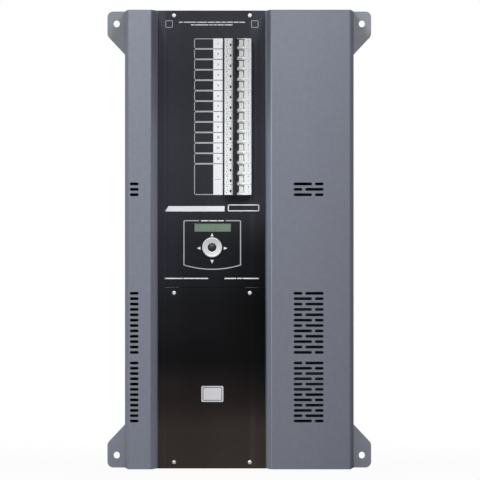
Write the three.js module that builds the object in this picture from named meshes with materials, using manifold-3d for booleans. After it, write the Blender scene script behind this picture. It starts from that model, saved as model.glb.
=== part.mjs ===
// Wall-mounted dimmer pack with twelve channel breakers, a three-pole main breaker,
// a display and a navigation pad. All lengths are in millimetres.
// +X is to the right seen from the front, the front faces -Y and +Z is up.
// The origin is the middle of the back plate's rear face, which lies on the wall at y = 0.

import * as THREE from "three";
import { mergeVertices } from "three/addons/utils/BufferGeometryUtils.js";
import Module from "manifold-3d";

const wasm = await Module();
wasm.setup();

// Cabinet
const cabinetHeight = 781.5;
const cabinetDepth = 140;
const baseWidth = 392;
const frontTaper = 6.7;
const plateSheet = 2;
const coverSheet = 1.5;
const panelSheet = 1.5;
const partitionSheet = 1.5;
const bendRadius = 1.5;
const bendSteps = 3;
const seatGap = 0.3;
const overrun = 2;

// Wall ears of the back plate and their fixing holes
const earReach = 30;
const earTip = 42;
const earRoot = 74;
const earCorner = 7.6;
const fixingWidth = 10.7;
const fixingHeight = 12.7;
const fixingSideInset = 16;
const fixingEndInset = 21.25;

// Recessed middle between the two covers
const panelWidth = 182;
const panelSideInset = 57.7;
const footShow = 2.8;
const footReach = 14;
const leftWallRun = 8.6;
const rightWallRun = 7;
const coverReturn = 14;
const seamGap = 0.6;

// Vent slots in the covers
const ventHeight = 4;
const shortVent = 13.2;
const longVent = 29.7;
const ventSpace = 6.6;
const ventPitch = 9.05;
const ventEndSteps = 2;
const leftVentInset = 4.05;
const rightVentInset = 46.65;
const upperVentDrop = 296.5;
const upperVentRows = 3;
const lowerVentRise = 81.65;
const lowerVentRows = 12;

// End plates
const endFlange = 14;
const endVentWidth = 5;
const endVentPitch = 19;
const sideVentLength = 60;
const middleVentLength = 34;
const endVentMargin = 14;
const entryWidth = 150;
const entryDepth = 38;
const entryCorner = 6;
const cornerSteps = 3;

// Partitions between the three bays
const webSetback = 4.5;
const partitionFlange = 42;
const partitionFoot = 14;
const collarRadius = 4.5;
const noseNotch = 4;

// Panel screws
const screwHeadRadius = 3.5;
const screwHeadHeight = 2.4;
const screwHeadRim = 0.9;
const screwRadius = 1.75;
const screwLength = 12;
const screwSlotLength = 4.2;
const screwSlotWidth = 0.9;
const screwSlotDepth = 1.1;
const screwSides = 10;
const domeShares = [0.66, 0.25];
const leftScrewInset = 26.9;
const rightScrewInset = 25.7;
const topScrewDrop = 8.8;
const seamScrewDrop = 9.6;
const bottomScrewRise = 10.6;

// Breakers, each one module wide, stacked on an upright rail
const channelCount = 12;
const mainPoles = 3;
const modulePitch = 17.82;
const moduleWidth = 17.5;
const stackDrop = 47.5;
const stackWebSpace = 10.9;
const breakerLength = 85;
const shoulderHeight = 44;
const shoulderChamfer = 3;
const noseWidth = 45.7;
const noseHeight = 60;
const noseProud = 10;
const breakerHeel = 6;
const windowClearance = 1;

// Rail
const railWidth = 35;
const railDepth = 7.5;
const railSheet = 1;
const railChannel = 27;
const railBend = 0.5;
const railOverhang = 8;
const railStandoff = 25.7;
const railClaw = 1.2;
const railPostWidth = 16;
const railPostHeight = 14;
const railPostCount = 3;

// Breaker toggles
const pivotOffset = 1.15;
const pivotHeight = 53.5;
const drumRadius = 9.3;
const drumSides = 12;
const pocketWidth = 20.2;
const pocketWall = 1.65;
const pocketFloorClearance = 0.7;
const axleRadius = 1.9;
const axleSides = 6;
const axleReach = 1.3;
const tieRadius = 3;
const leverLean = 33;
const leverLength = 16;
const leverGripThickness = 4.4;
const leverGripWidth = 16.4;
const leverGripRise = 13;
const leverNeckThickness = 8.6;
const leverNeckRise = 11.2;
const leverRootRise = 6;
const leverEdgeThickness = 4.2;
const crownSteps = 3;
const flagWidth = 3.4;
const flagHeight = 4.5;
const flagDepth = 0.6;
const flagInset = 11.1;
const flagDrop = 2.2;

// Display
const displayDrop = 55.58;
const displayOffset = 1.85;
const lensWidth = 62;
const lensHeight = 13.8;
const lensThickness = 1.8;
const lensSink = 0.2;
const lensCorner = 0.6;
const lensCornerSteps = 1;
const bezelWidth = 71.2;
const bezelHeight = 24.2;
const bezelDepth = 7;
const displayBoardWidth = 80;
const displayBoardHeight = 30;
const displayStudRadius = 2.5;
const displayStudInset = 3.5;

// Navigation pad
const padDrop = 34;
const padOffset = 0.85;
const ringRadius = 17.45;
const ringProud = 3;
const ringThickness = 3.5;
const ringEdge = 1.2;
const ringSkirtWall = 2.6;
const ringSkirtInset = 0.25;
const ringSkirtDepth = 8;
const ringClearance = 0.8;
const pivotDepth = 6;
const frameThickness = 3;
const frameWall = 2.4;
const frameClearance = 0.6;
const trunnionRadius = 1;
const trunnionReach = 1.4;
const trunnionPlay = 0.3;
const buttonRadius = 7.2;
const buttonProud = 4;
const buttonDome = 1.4;
const buttonRadiusShares = [0.5, 0.85];
const buttonDropShares = [0.2, 0.65];
const buttonTravel = 0.8;
const guidePlay = 0.3;
const guideWall = 1.4;
const roundSides = 24;
const smallSides = 8;

// Control board behind the upper panel
const boardWidth = 104;
const boardHeight = 92;
const boardThickness = 1.6;
const boardSpacing = 14;
const boardStudRadius = 3;
const boardStudInset = 5;
const boardCentreRise = 14;

// Lower panel seam, below the pad
const seamDrop = 68.05;

// Heat sink and thyristor modules in the right bay
const sinkSideSpace = 5.5;
const bankTopSpace = 101.5;
const sinkDepth = 46;
const sinkBase = 9;
const sinkFin = 3;
const sinkFinCount = 12;
const sinkRise = 60;
const moduleCount = 3;
const thyristorInset = 13;
const thyristorHeight = 34;
const thyristorDepth = 30;
const thyristorEarShare = 0.13;
const thyristorEarDepth = 10;
const thyristorEndSpace = 88;

// Chokes, four to a bank
const chokeClearance = 1.2;
const chokeSectionShare = 0.45;
const chokeSpace = 6;
const chokeSides = 10;
const chokeStrip = 2;
const chokeSink = 1;
const chokeFoot = 12;
const bankChokeCount = 4;
const leftBankCount = 2;
const leftColumnCount = 1;
const rightColumnCount = 2;
const bankSpace = 16;
const bankEndSpace = 53.25;

// Terminals, control supply, earth bar and data socket in the middle bay
const blockSideSpace = 4.3;
const loadHeight = 44;
const loadDepth = 38;
const supplySideSpace = 24.3;
const supplyHeight = 56;
const supplyDepth = 44;
const supplyPoleCount = 5;
const barrierWall = 2.4;
const barrierRise = 7;
const earthSideSpace = 14.3;
const earthHeight = 12;
const earthThickness = 6;
const earthFoot = 12;
const earthHoleCount = 7;
const earthHoleRadius = 2.4;
const coreWidth = 56;
const coreHeight = 48;
const coreDepth = 34;
const windingWidth = 36;
const windingHeight = 58;
const windingDepth = 28;
const coreFlange = 3;
const coreFlangeWidth = 72;
const coreDrop = 34;
const socketWidth = 44;
const socketHeight = 18;
const socketDepth = 24;
const socketMouthWidth = 14;
const socketMouthHeight = 11;
const socketMouthDepth = 12;

// Derived planes and lines
const halfHeight = cabinetHeight / 2;
const baseHalf = baseWidth / 2;
const frontHalf = baseHalf - frontTaper;
const seatY = -plateSheet - seatGap;
const frontY = -cabinetDepth;
const railSeatY = seatY - railStandoff;
const panelY = railSeatY - noseHeight + noseProud;
const panelBackY = panelY + panelSheet;
const footY = panelBackY + seatGap;
const flangeY = footY + coverSheet + seatGap;
const panelLeft = -baseHalf + panelSideInset;
const panelRight = panelLeft + panelWidth;
const panelCentreX = panelLeft + panelWidth / 2;
const leftFoot = panelLeft - footShow;
const rightFoot = panelRight + footShow;
const leftFlatEdge = leftFoot - leftWallRun;
const rightFlatEdge = rightFoot + rightWallRun;
const leftWeb = leftFoot - webSetback;
const rightWeb = rightFoot + webSetback;
const stackX = rightWeb - stackWebSpace - breakerLength / 2;
const endInnerZ = halfHeight - coverSheet;
const leftScrewX = panelLeft + leftScrewInset;
const rightScrewX = panelRight - rightScrewInset;
const stackTop = halfHeight - stackDrop;
const stackLength = modulePitch * (channelCount + mainPoles);
const stackBottom = stackTop - stackLength;
const displayX = panelCentreX + displayOffset;
const displayZ = stackBottom - displayDrop;
const padX = panelCentreX + padOffset;
const padZ = displayZ - padDrop;
const padY = panelY + pivotDepth;
const seamZ = padZ - seamDrop;
const boardY = panelBackY + boardSpacing;
const bezelY = panelY + lensSink + lensThickness + seatGap;
const stemRadius = buttonRadius - ringEdge / 2;
const guideInner = stemRadius + guidePlay;
const guideOuter = guideInner + guideWall;
const middleX = (leftWeb + rightWeb) / 2;
const middleClear = rightWeb - leftWeb - 2 * partitionFoot;
const loadWidth = middleClear - 2 * blockSideSpace;
const supplyWidth = middleClear - 2 * supplySideSpace;
const earthLength = middleClear - 2 * earthSideSpace;
const lowerBay = seamZ + endInnerZ;
const lowerPieces = [socketHeight, loadHeight, supplyHeight, earthHeight];
const lowerSpace = (lowerBay - lowerPieces.reduce((a, b) => a + b)) / (lowerPieces.length + 1);
const chokePitch = (2 * endInnerZ - bankSpace - 2 * bankEndSpace) / (leftBankCount * bankChokeCount);
const chokeOuter = chokePitch - chokeSpace;
const chokeInner = chokeOuter * chokeSectionShare;
const chokeDepthShare = (chokeStrip + chokeOuter) / (seatY - frontY);
const innerHalf = baseHalf + (frontHalf - baseHalf) * chokeDepthShare - coverSheet;
const bayHalf = Math.min(baseHalf - coverReturn, innerHalf);
const leftBayX = (leftWeb - bayHalf) / 2;
const rightBayX = (rightWeb + bayHalf) / 2;
const leftFit = bayHalf + leftWeb - 2 * chokeClearance;
const rightFit = (bayHalf - rightWeb - 2 * chokeClearance + chokeSpace) / rightColumnCount - chokeSpace;
const chokeWidth = Math.min(leftFit, rightFit);
const sinkWidth = bayHalf - rightWeb - 2 * sinkSideSpace;
const thyristorWidth = sinkWidth - 2 * thyristorInset;
const thyristorEar = thyristorWidth * thyristorEarShare;
const bankLength = (columns) => (bankChokeCount / columns) * chokePitch;
const sinkLength = cabinetHeight - sinkRise - bankSpace - bankLength(rightColumnCount) - bankTopSpace;
const lowestVentZ = -halfHeight + lowerVentRise;
const lowerVentSpan = (lowerVentRows - 1) * ventPitch;
const groupPitch = lowerVentSpan + 2 * ventPitch;

// Finishes
const housingPaint = new THREE.MeshStandardMaterial({ color: 0x7c808c, roughness: 0.45, metalness: 0.2 });
const platePaint = new THREE.MeshStandardMaterial({ color: 0x74787f, roughness: 0.5, metalness: 0.2 });
const panelPaint = new THREE.MeshStandardMaterial({ color: 0x26272b, roughness: 0.4, metalness: 0.2 });
const zincSteel = new THREE.MeshStandardMaterial({ color: 0xb4b7ba, roughness: 0.35, metalness: 0.9 });
const brightSteel = new THREE.MeshStandardMaterial({ color: 0xd0d1d4, roughness: 0.25, metalness: 0.95 });
const breakerPlastic = new THREE.MeshStandardMaterial({ color: 0xdfe1df, roughness: 0.5, metalness: 0 });
const leverPlastic = new THREE.MeshStandardMaterial({ color: 0x1b1c1f, roughness: 0.45, metalness: 0 });
const lensGlass = new THREE.MeshStandardMaterial({ color: 0x72906f, roughness: 0.15, metalness: 0 });
const boardGreen = new THREE.MeshStandardMaterial({ color: 0x1f5a38, roughness: 0.5, metalness: 0 });
const ringSilver = new THREE.MeshStandardMaterial({ color: 0xc9ccd2, roughness: 0.3, metalness: 0.7 });
const buttonPlastic = new THREE.MeshStandardMaterial({ color: 0x25262a, roughness: 0.35, metalness: 0 });
const darkPlastic = new THREE.MeshStandardMaterial({ color: 0x2c2e31, roughness: 0.6, metalness: 0 });
const sinkAluminium = new THREE.MeshStandardMaterial({ color: 0xa9acb0, roughness: 0.4, metalness: 0.9 });
const copperWinding = new THREE.MeshStandardMaterial({ color: 0x9a5a2e, roughness: 0.4, metalness: 0.6 });
const terminalPlastic = new THREE.MeshStandardMaterial({ color: 0xbfc2bd, roughness: 0.6, metalness: 0 });
const barBrass = new THREE.MeshStandardMaterial({ color: 0xb8963e, roughness: 0.35, metalness: 0.9 });

// A closed geometry as a solid that can be joined and cut.
function toSolid(geometry) {
  const bare = geometry.clone();
  bare.deleteAttribute("normal");
  bare.deleteAttribute("uv");
  const merged = mergeVertices(bare);
  const vertProperties = new Float32Array(merged.getAttribute("position").array);
  const triVerts = new Uint32Array(merged.index.array);
  return new wasm.Manifold(new wasm.Mesh({ numProp: 3, vertProperties, triVerts }));
}

// A solid as a geometry that a mesh can show.
function toGeometry(solid) {
  const { vertProperties, triVerts } = solid.getMesh();
  const geometry = new THREE.BufferGeometry();
  geometry.setAttribute("position", new THREE.BufferAttribute(new Float32Array(vertProperties), 3));
  geometry.setIndex(new THREE.BufferAttribute(new Uint32Array(triVerts), 1));
  geometry.computeVertexNormals();
  return geometry;
}

const join = (...geometries) => toGeometry(geometries.map(toSolid).reduce((a, b) => a.add(b)));

function cut(geometry, cutters) {
  return toGeometry(cutters.map(toSolid).reduce((rest, cutter) => rest.subtract(cutter), toSolid(geometry)));
}

function intersect(first, second) {
  return toGeometry(toSolid(first).intersect(toSolid(second)));
}

// A box between two corners.
function block(x0, x1, y0, y1, z0, z1) {
  const geometry = new THREE.BoxGeometry(Math.abs(x1 - x0), Math.abs(y1 - y0), Math.abs(z1 - z0));
  return geometry.translate((x0 + x1) / 2, (y0 + y1) / 2, (z0 + z1) / 2);
}

// An outline in the XY plane, raised along Z.
function upright(points, z0, z1) {
  const options = { depth: z1 - z0, bevelEnabled: false };
  return new THREE.ExtrudeGeometry(new THREE.Shape(points), options).translate(0, 0, z0);
}

// An outline seen from the front, x to the right and z up, that reaches from y = back to y = front.
function facing(points, front, back) {
  const options = { depth: back - front, bevelEnabled: false };
  const geometry = new THREE.ExtrudeGeometry(new THREE.Shape(points), options);
  return geometry.rotateX(Math.PI / 2).translate(0, back, 0);
}

// A round bar along one axis, centred there.
function barAlongX(radius, x0, x1, sides) {
  const geometry = new THREE.CylinderGeometry(radius, radius, x1 - x0, sides);
  return geometry.rotateZ(Math.PI / 2).translate((x0 + x1) / 2, 0, 0);
}

function barAlongY(radius, y0, y1, sides) {
  const geometry = new THREE.CylinderGeometry(radius, radius, Math.abs(y1 - y0), sides);
  return geometry.translate(0, (y0 + y1) / 2, 0);
}

function barAlongZ(radius, z0, z1, sides) {
  const geometry = new THREE.CylinderGeometry(radius, radius, z1 - z0, sides);
  return geometry.rotateX(Math.PI / 2).translate(0, 0, (z0 + z1) / 2);
}

// The corner radius of a bore with flat sides that a round bar can turn in.
const boreRadius = (radius, sides) => (radius + seatGap) / Math.cos(Math.PI / sides);

// A turned piece about the Y axis, from radii and y places that close on themselves.
function turned(profile, sides) {
  const points = profile.map(([radius, y]) => new THREE.Vector2(radius, y));
  return new THREE.LatheGeometry(points, sides);
}

// A rectangle with round corners, as wide and high as given, about a centre.
// A side that the two corners take up whole adds no point of its own.
function roundedOutline(x, z, width, height, radius, steps) {
  const points = [];
  const corners = [[1, 1], [-1, 1], [-1, -1], [1, -1]];
  corners.forEach(([sideX, sideZ], quarter) => {
    const straight = (quarter % 2 === 0 ? height : width) / 2 - radius;
    for (let step = straight > 0 ? 0 : 1; step <= steps; step += 1) {
      const angle = (Math.PI / 2) * (quarter + step / steps);
      points.push(new THREE.Vector2(
        x + sideX * (width / 2 - radius) + radius * Math.cos(angle),
        z + sideZ * (height / 2 - radius) + radius * Math.sin(angle),
      ));
    }
  });
  return points;
}

// The line at a given distance inside the outer face of a folded sheet, with round bends.
// The path is the outer face with sharp corners; hand is 1 where the sheet lies to the left of it.
function sheetLine(path, sheet, distance, hand, bend) {
  const corners = path.map(([x, y]) => new THREE.Vector2(x, y));
  const run = (from, to) => to.clone().sub(from).normalize();
  const inward = (along) => new THREE.Vector2(-along.y, along.x).multiplyScalar(hand);
  const points = [];
  corners.forEach((corner, i) => {
    if (i === 0 || i === corners.length - 1) {
      const along = i === 0 ? run(corner, corners[1]) : run(corners[i - 1], corner);
      points.push(corner.clone().add(inward(along).multiplyScalar(distance)));
      return;
    }
    const along = run(corners[i - 1], corner);
    const turn = Math.asin(along.cross(run(corner, corners[i + 1])));
    const closes = Math.sign(turn * hand);
    const outerRadius = closes > 0 ? bend + sheet : bend;
    const radius = outerRadius - closes * distance;
    const spoke = inward(along).multiplyScalar(-closes);
    const centre = corner.clone();
    centre.addScaledVector(along, -outerRadius * Math.tan(Math.abs(turn) / 2));
    centre.addScaledVector(spoke, -outerRadius);
    for (let step = 0; step <= bendSteps; step += 1) {
      const arm = spoke.clone().rotateAround(new THREE.Vector2(), (turn * step) / bendSteps);
      points.push(centre.clone().addScaledVector(arm, radius));
    }
  });
  return points;
}

function sheetOutline(path, sheet, hand, bend) {
  const outer = sheetLine(path, sheet, 0, hand, bend);
  const inner = sheetLine(path, sheet, sheet, hand, bend);
  return [...outer, ...inner.reverse()];
}

function addPart(parent, name, geometry, material, x = 0, y = 0, z = 0) {
  const mesh = new THREE.Mesh(geometry, material);
  mesh.name = name;
  mesh.position.set(x, y, z);
  parent.add(mesh);
  return mesh;
}

// The back plate: one ear outline point list per corner, joined round the plate.
function backPlate() {
  const reach = baseHalf + earReach;
  const earSlope = new THREE.Vector2(earReach, earRoot - earTip).normalize();
  const softening = earCorner * Math.tan(Math.atan2(earSlope.x, earSlope.y) / 2);
  const quarter = [];
  for (let step = 0; step <= cornerSteps + 1; step += 1) {
    const angle = ((Math.PI / 2) * step) / (cornerSteps + 1);
    quarter.push([
      reach - earCorner * (1 - Math.sin(angle)),
      halfHeight - earCorner * (1 - Math.cos(angle)),
    ]);
  }
  quarter.push([reach, halfHeight - earTip + softening]);
  quarter.push([reach - softening * earSlope.x, halfHeight - earTip - softening * earSlope.y]);
  quarter.push([baseHalf, halfHeight - earRoot]);
  const flip = (points, sideX, sideZ) => points.map(([x, z]) => new THREE.Vector2(x * sideX, z * sideZ));
  const outline = [
    ...flip(quarter, 1, 1),
    ...flip(quarter, 1, -1).reverse(),
    ...flip(quarter, -1, -1),
    ...flip(quarter, -1, 1).reverse(),
  ];
  const holes = [[-1, 1], [1, 1], [-1, -1], [1, -1]].map(([sideX, sideZ]) => {
    const x = sideX * (reach - fixingSideInset);
    const z = sideZ * (halfHeight - fixingEndInset);
    const hole = roundedOutline(x, z, fixingWidth, fixingHeight, fixingWidth / 2, cornerSteps);
    return facing(hole, -plateSheet - overrun, overrun);
  });
  return cut(facing(outline, -plateSheet, 0), holes);
}

// A cover's outer face: return on the back plate, outer side, front, inner side and foot.
function coverPath(side, flatEdge, foot) {
  return [
    [side * (baseHalf - coverReturn), seatY],
    [side * baseHalf, seatY],
    [side * frontHalf, frontY],
    [flatEdge, frontY],
    [foot, footY],
    [foot - side * footReach, footY],
  ];
}

const leftCoverPath = coverPath(-1, leftFlatEdge, leftFoot);
const rightCoverPath = coverPath(1, rightFlatEdge, rightFoot);

// Vent rows, from the top of a group down, each with its list of slot centres and lengths.
function ventSlots(topZ, rows, slotsOfRow) {
  const slots = [];
  for (let row = 0; row < rows; row += 1) {
    const z = topZ - row * ventPitch;
    slotsOfRow(row).forEach(([x, length]) => {
      const outline = roundedOutline(x, z, length, ventHeight, ventHeight / 2, ventEndSteps);
      slots.push(facing(outline, frontY - overrun, frontY + coverSheet + overrun));
    });
  }
  return slots;
}

const ventGroups = [
  { topZ: halfHeight - upperVentDrop, rows: upperVentRows, longFirst: true },
  { topZ: lowestVentZ + lowerVentSpan + groupPitch, rows: lowerVentRows, longFirst: false },
  { topZ: lowestVentZ + lowerVentSpan, rows: lowerVentRows, longFirst: false },
];

function leftCover() {
  const sheet = upright(sheetOutline(leftCoverPath, coverSheet, 1, bendRadius), -halfHeight, halfHeight);
  const x = -frontHalf + leftVentInset + shortVent / 2;
  const slots = ventGroups.flatMap(({ topZ, rows }) => ventSlots(topZ, rows, () => [[x, shortVent]]));
  return cut(sheet, slots);
}

function rightCover() {
  const sheet = upright(sheetOutline(rightCoverPath, coverSheet, -1, bendRadius), -halfHeight, halfHeight);
  const rightEnd = frontHalf - rightVentInset;
  const leftEnd = rightEnd - longVent - ventSpace - shortVent;
  const longLeft = [[leftEnd + longVent / 2, longVent], [rightEnd - shortVent / 2, shortVent]];
  const shortLeft = [[leftEnd + shortVent / 2, shortVent], [rightEnd - longVent / 2, longVent]];
  const slots = ventGroups.flatMap(({ topZ, rows, longFirst }) =>
    ventSlots(topZ, rows, (row) => ((row % 2 === 0) === longFirst ? longLeft : shortLeft)));
  return cut(sheet, slots);
}

// Long slots across an end plate, side by side in one bay.
function endVents(x0, x1, middleY, length) {
  const count = Math.floor((x1 - x0 - 2 * endVentMargin) / endVentPitch) + 1;
  const first = (x0 + x1 - (count - 1) * endVentPitch) / 2;
  return Array.from({ length: count }, (_, i) => {
    const x = first + i * endVentPitch;
    const outline = roundedOutline(x, middleY, endVentWidth, length, endVentWidth / 2, ventEndSteps);
    return upright(outline, endInnerZ - overrun, halfHeight + overrun);
  });
}

// An end plate as it lies at the top, closed between the covers and the panels.
function endPlate(cutters) {
  const inset = coverSheet + seatGap;
  const leftLine = sheetLine(leftCoverPath, coverSheet, inset, 1, bendRadius);
  const rightLine = sheetLine(rightCoverPath, coverSheet, inset, -1, bendRadius);
  const stepX = baseHalf - coverReturn - seatGap;
  const leftStep = leftFoot + footReach + seatGap;
  const rightStep = rightFoot - footReach - seatGap;
  const outline = [
    new THREE.Vector2(-stepX, seatY),
    new THREE.Vector2(-stepX, seatY - inset),
    ...leftLine,
    new THREE.Vector2(leftStep, flangeY),
    new THREE.Vector2(leftStep, footY),
    new THREE.Vector2(rightStep, footY),
    new THREE.Vector2(rightStep, flangeY),
    ...rightLine.reverse(),
    new THREE.Vector2(stepX, seatY - inset),
    new THREE.Vector2(stepX, seatY),
  ];
  const flangeLeft = leftWeb + partitionFoot + seatGap;
  const flangeRight = rightWeb - partitionFoot - seatGap;
  const front = seatY - coverSheet;
  const flange = block(flangeLeft, flangeRight, seatY, front, halfHeight - endFlange, halfHeight);
  const plate = join(upright(outline, endInnerZ, halfHeight), flange);
  return cut(plate, cutters);
}

const sideVentY = (seatY + frontY) / 2;
const middleVentY = (seatY + panelBackY) / 2;
const sideVents = () => [
  ...endVents(-baseHalf, leftWeb, sideVentY, sideVentLength),
  ...endVents(rightWeb, baseHalf, sideVentY, sideVentLength),
];

function topEndPlate() {
  return endPlate([...sideVents(), ...endVents(leftWeb, rightWeb, middleVentY, middleVentLength)]);
}

function bottomEndPlate() {
  const entry = roundedOutline(middleX, middleVentY, entryWidth, entryDepth, entryCorner, cornerSteps);
  const opening = upright(entry, endInnerZ - overrun, halfHeight + overrun);
  return endPlate([...sideVents(), opening]).scale(1, 1, -1);
}

// Turning a geometry over in Z turns its faces inside out, so their order is put right again.
function rightSideOut(geometry) {
  const index = geometry.index.array;
  for (let i = 0; i < index.length; i += 3) [index[i], index[i + 1]] = [index[i + 1], index[i]];
  geometry.computeVertexNormals();
  return geometry;
}

const screwPlaces = [
  { name: "upper_panel_screw_left", x: leftScrewX, z: halfHeight - topScrewDrop },
  { name: "upper_panel_screw_right", x: rightScrewX, z: halfHeight - topScrewDrop },
  { name: "lower_panel_screw_top_left", x: leftScrewX, z: seamZ - seamScrewDrop },
  { name: "lower_panel_screw_top_right", x: rightScrewX, z: seamZ - seamScrewDrop },
  { name: "lower_panel_screw_bottom_left", x: leftScrewX, z: -halfHeight + bottomScrewRise },
  { name: "lower_panel_screw_bottom_right", x: rightScrewX, z: -halfHeight + bottomScrewRise },
];

function panelScrew() {
  const rim = -screwHeadRim;
  const body = turned(
    [
      [0, -screwHeadHeight],
      [screwHeadRadius * domeShares[0], -screwHeadHeight + (screwHeadHeight - screwHeadRim) * domeShares[1]],
      [screwHeadRadius, rim],
      [screwHeadRadius, 0],
      [screwRadius, 0],
      [screwRadius, screwLength],
      [0, screwLength],
    ],
    screwSides,
  );
  const long = screwSlotLength / 2;
  const thin = screwSlotWidth / 2;
  const floor = -screwHeadHeight + screwSlotDepth;
  const above = -screwHeadHeight - overrun;
  return cut(body, [
    block(-long, long, above, floor, -thin, thin),
    block(-thin, thin, above, floor, -long, long),
  ]);
}

// Holes at the given height range, for the screws of one column.
function screwHoles(places) {
  return places.map(({ x, z }) => {
    const end = flangeY + partitionSheet + overrun;
    const hole = barAlongY(screwRadius + seatGap, end, panelY - overrun, screwSides);
    return hole.translate(x, 0, z);
  });
}

function upperPanel() {
  const sheet = block(panelLeft, panelRight, panelY, panelBackY, seamZ + seamGap / 2, halfHeight);
  const near = panelY - overrun;
  const far = panelBackY + overrun;
  const noseHalf = noseWidth / 2 + windowClearance;
  const lensHalfWidth = lensWidth / 2 + seatGap;
  const lensHalfHeight = lensHeight / 2 + seatGap;
  return cut(sheet, [
    block(
      stackX - noseHalf, stackX + noseHalf, near, far,
      stackBottom - windowClearance, stackTop + windowClearance,
    ),
    block(
      displayX - lensHalfWidth, displayX + lensHalfWidth, near, far,
      displayZ - lensHalfHeight, displayZ + lensHalfHeight,
    ),
    barAlongY(ringRadius + ringClearance, near, far, roundSides).translate(padX, 0, padZ),
    ...screwHoles(screwPlaces.slice(0, 2)),
  ]);
}

function lowerPanel() {
  const sheet = block(panelLeft, panelRight, panelY, panelBackY, -halfHeight, seamZ - seamGap / 2);
  return cut(sheet, screwHoles(screwPlaces.slice(2)));
}

// A partition: foot on the back plate, web and a front flange with a threaded collar per screw.
function partition(side, web, screwX, cutters) {
  const path = [
    [web - side * partitionFoot, seatY],
    [web, seatY],
    [web, flangeY],
    [web - side * partitionFlange, flangeY],
  ];
  const end = endInnerZ - seatGap;
  const sheet = upright(sheetOutline(path, partitionSheet, -side, bendRadius), -end, end);
  const places = screwPlaces.filter(({ x }) => x === screwX);
  const collars = places.map(({ x, z }) =>
    barAlongY(collarRadius, flangeY + partitionSheet, footY, screwSides).translate(x, 0, z));
  return cut(join(sheet, ...collars), [...screwHoles(places), ...cutters]);
}

const leftPartition = () => partition(-1, leftWeb, leftScrewX, []);

function rightPartition() {
  const flangeEnd = rightWeb - partitionFlange;
  const noseEdge = stackX + noseWidth / 2 + noseNotch;
  const notch = block(
    flangeEnd - overrun, noseEdge, flangeY - overrun, flangeY + partitionSheet + overrun,
    stackBottom - noseNotch, stackTop + noseNotch,
  );
  return partition(1, rightWeb, rightScrewX, [notch]);
}

// The rail and the posts that hold it off the back plate, about the rail's seat.
function dinRail() {
  const lip = railWidth / 2;
  const channel = railChannel / 2;
  const path = [
    [-lip, 0],
    [-channel, 0],
    [-channel, railDepth],
    [channel, railDepth],
    [channel, 0],
    [lip, 0],
  ];
  const half = stackLength / 2 + railOverhang;
  const rail = upright(sheetOutline(path, railSheet, 1, railBend), -half, half);
  const reach = seatY - railSeatY;
  const posts = Array.from({ length: railPostCount }, (_, i) => {
    const z = (i / (railPostCount - 1) - 0.5) * (stackLength - railPostHeight);
    const wide = railPostWidth / 2;
    const tall = railPostHeight / 2;
    return block(-wide, wide, railDepth - railSheet / 2, reach, z - tall, z + tall);
  });
  return join(rail, ...posts);
}

// A breaker body for some poles, about the rail's seat at its middle.
function breaker(poles) {
  const half = breakerLength / 2;
  const nose = noseWidth / 2;
  const lip = railWidth / 2 + seatGap;
  const mouth = lip - railClaw - seatGap;
  const claw = railSheet + seatGap;
  const side = [
    [nose, -noseHeight],
    [nose, -shoulderHeight],
    [half - shoulderChamfer, -shoulderHeight],
    [half, -shoulderHeight + shoulderChamfer],
    [half, breakerHeel],
    [mouth, breakerHeel],
    [mouth, claw],
    [lip, claw],
    [lip, -seatGap],
  ];
  const mirrored = side.map(([x, y]) => [-x, y]).reverse();
  const outline = [...side, ...mirrored].map(([x, y]) => new THREE.Vector2(x, y));
  const tall = (modulePitch * (poles - 1) + moduleWidth) / 2;
  const body = upright(outline, -tall, tall);
  const cutters = [];
  const pocketHalf = moduleWidth / 2 - pocketWall;
  const pocketFloor = -pivotHeight + drumRadius + pocketFloorClearance;
  const left = pivotOffset - pocketWidth / 2;
  const right = pivotOffset + pocketWidth / 2;
  const flagX = -nose + flagInset;
  for (let pole = 0; pole < poles; pole += 1) {
    const z = modulePitch * ((poles - 1) / 2 - pole);
    cutters.push(block(left, right, -noseHeight - overrun, pocketFloor, z - pocketHalf, z + pocketHalf));
    cutters.push(block(
      flagX - flagWidth / 2, flagX + flagWidth / 2, -noseHeight - overrun, -noseHeight + flagDepth,
      z - flagDrop - flagHeight / 2, z - flagDrop + flagHeight / 2,
    ));
  }
  const axleEnd = tall - pocketWall + axleReach;
  const bores = [barAlongZ(boreRadius(axleRadius, axleSides), -axleEnd, axleEnd, axleSides)];
  const tieEnd = tall - pocketWall;
  if (poles > 1) bores.push(barAlongZ(boreRadius(tieRadius, axleSides), -tieEnd, tieEnd, axleSides));
  cutters.push(...bores.map((bore) => bore.translate(pivotOffset, -pivotHeight, 0)));
  return cut(body, cutters);
}

// A lever before it leans: a neck that bulges to the right below a wide flat grip.
function leverBlade() {
  const back = -leverGripThickness / 2;
  const neckFront = back + leverNeckThickness;
  const grip = leverGripWidth / 2;
  const neck = moduleWidth / 2 - pocketWall - seatGap;
  const side = [
    [back, -leverRootRise],
    [back, -leverLength],
    [-back, -leverLength],
    [neckFront, -leverNeckRise],
    [neckFront, -leverRootRise],
  ];
  const slim = upright(side.map(([x, y]) => new THREE.Vector2(x, y)), -grip, grip);
  const bowed = (half, rootRise, tipRise) => {
    const crown = [new THREE.Vector2(back - overrun, half), new THREE.Vector2(back - overrun, -half)];
    for (let step = 0; step <= crownSteps; step += 1) {
      const angle = Math.PI * (step / crownSteps - 0.5);
      const bulge = (leverNeckThickness - leverEdgeThickness) * Math.cos(angle);
      crown.push(new THREE.Vector2(back + leverEdgeThickness + bulge, half * Math.sin(angle)));
    }
    return intersect(slim, facing(crown, -tipRise, -rootRise));
  };
  return join(bowed(neck, leverRootRise, leverLength), bowed(grip, leverGripRise, leverLength));
}

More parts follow.
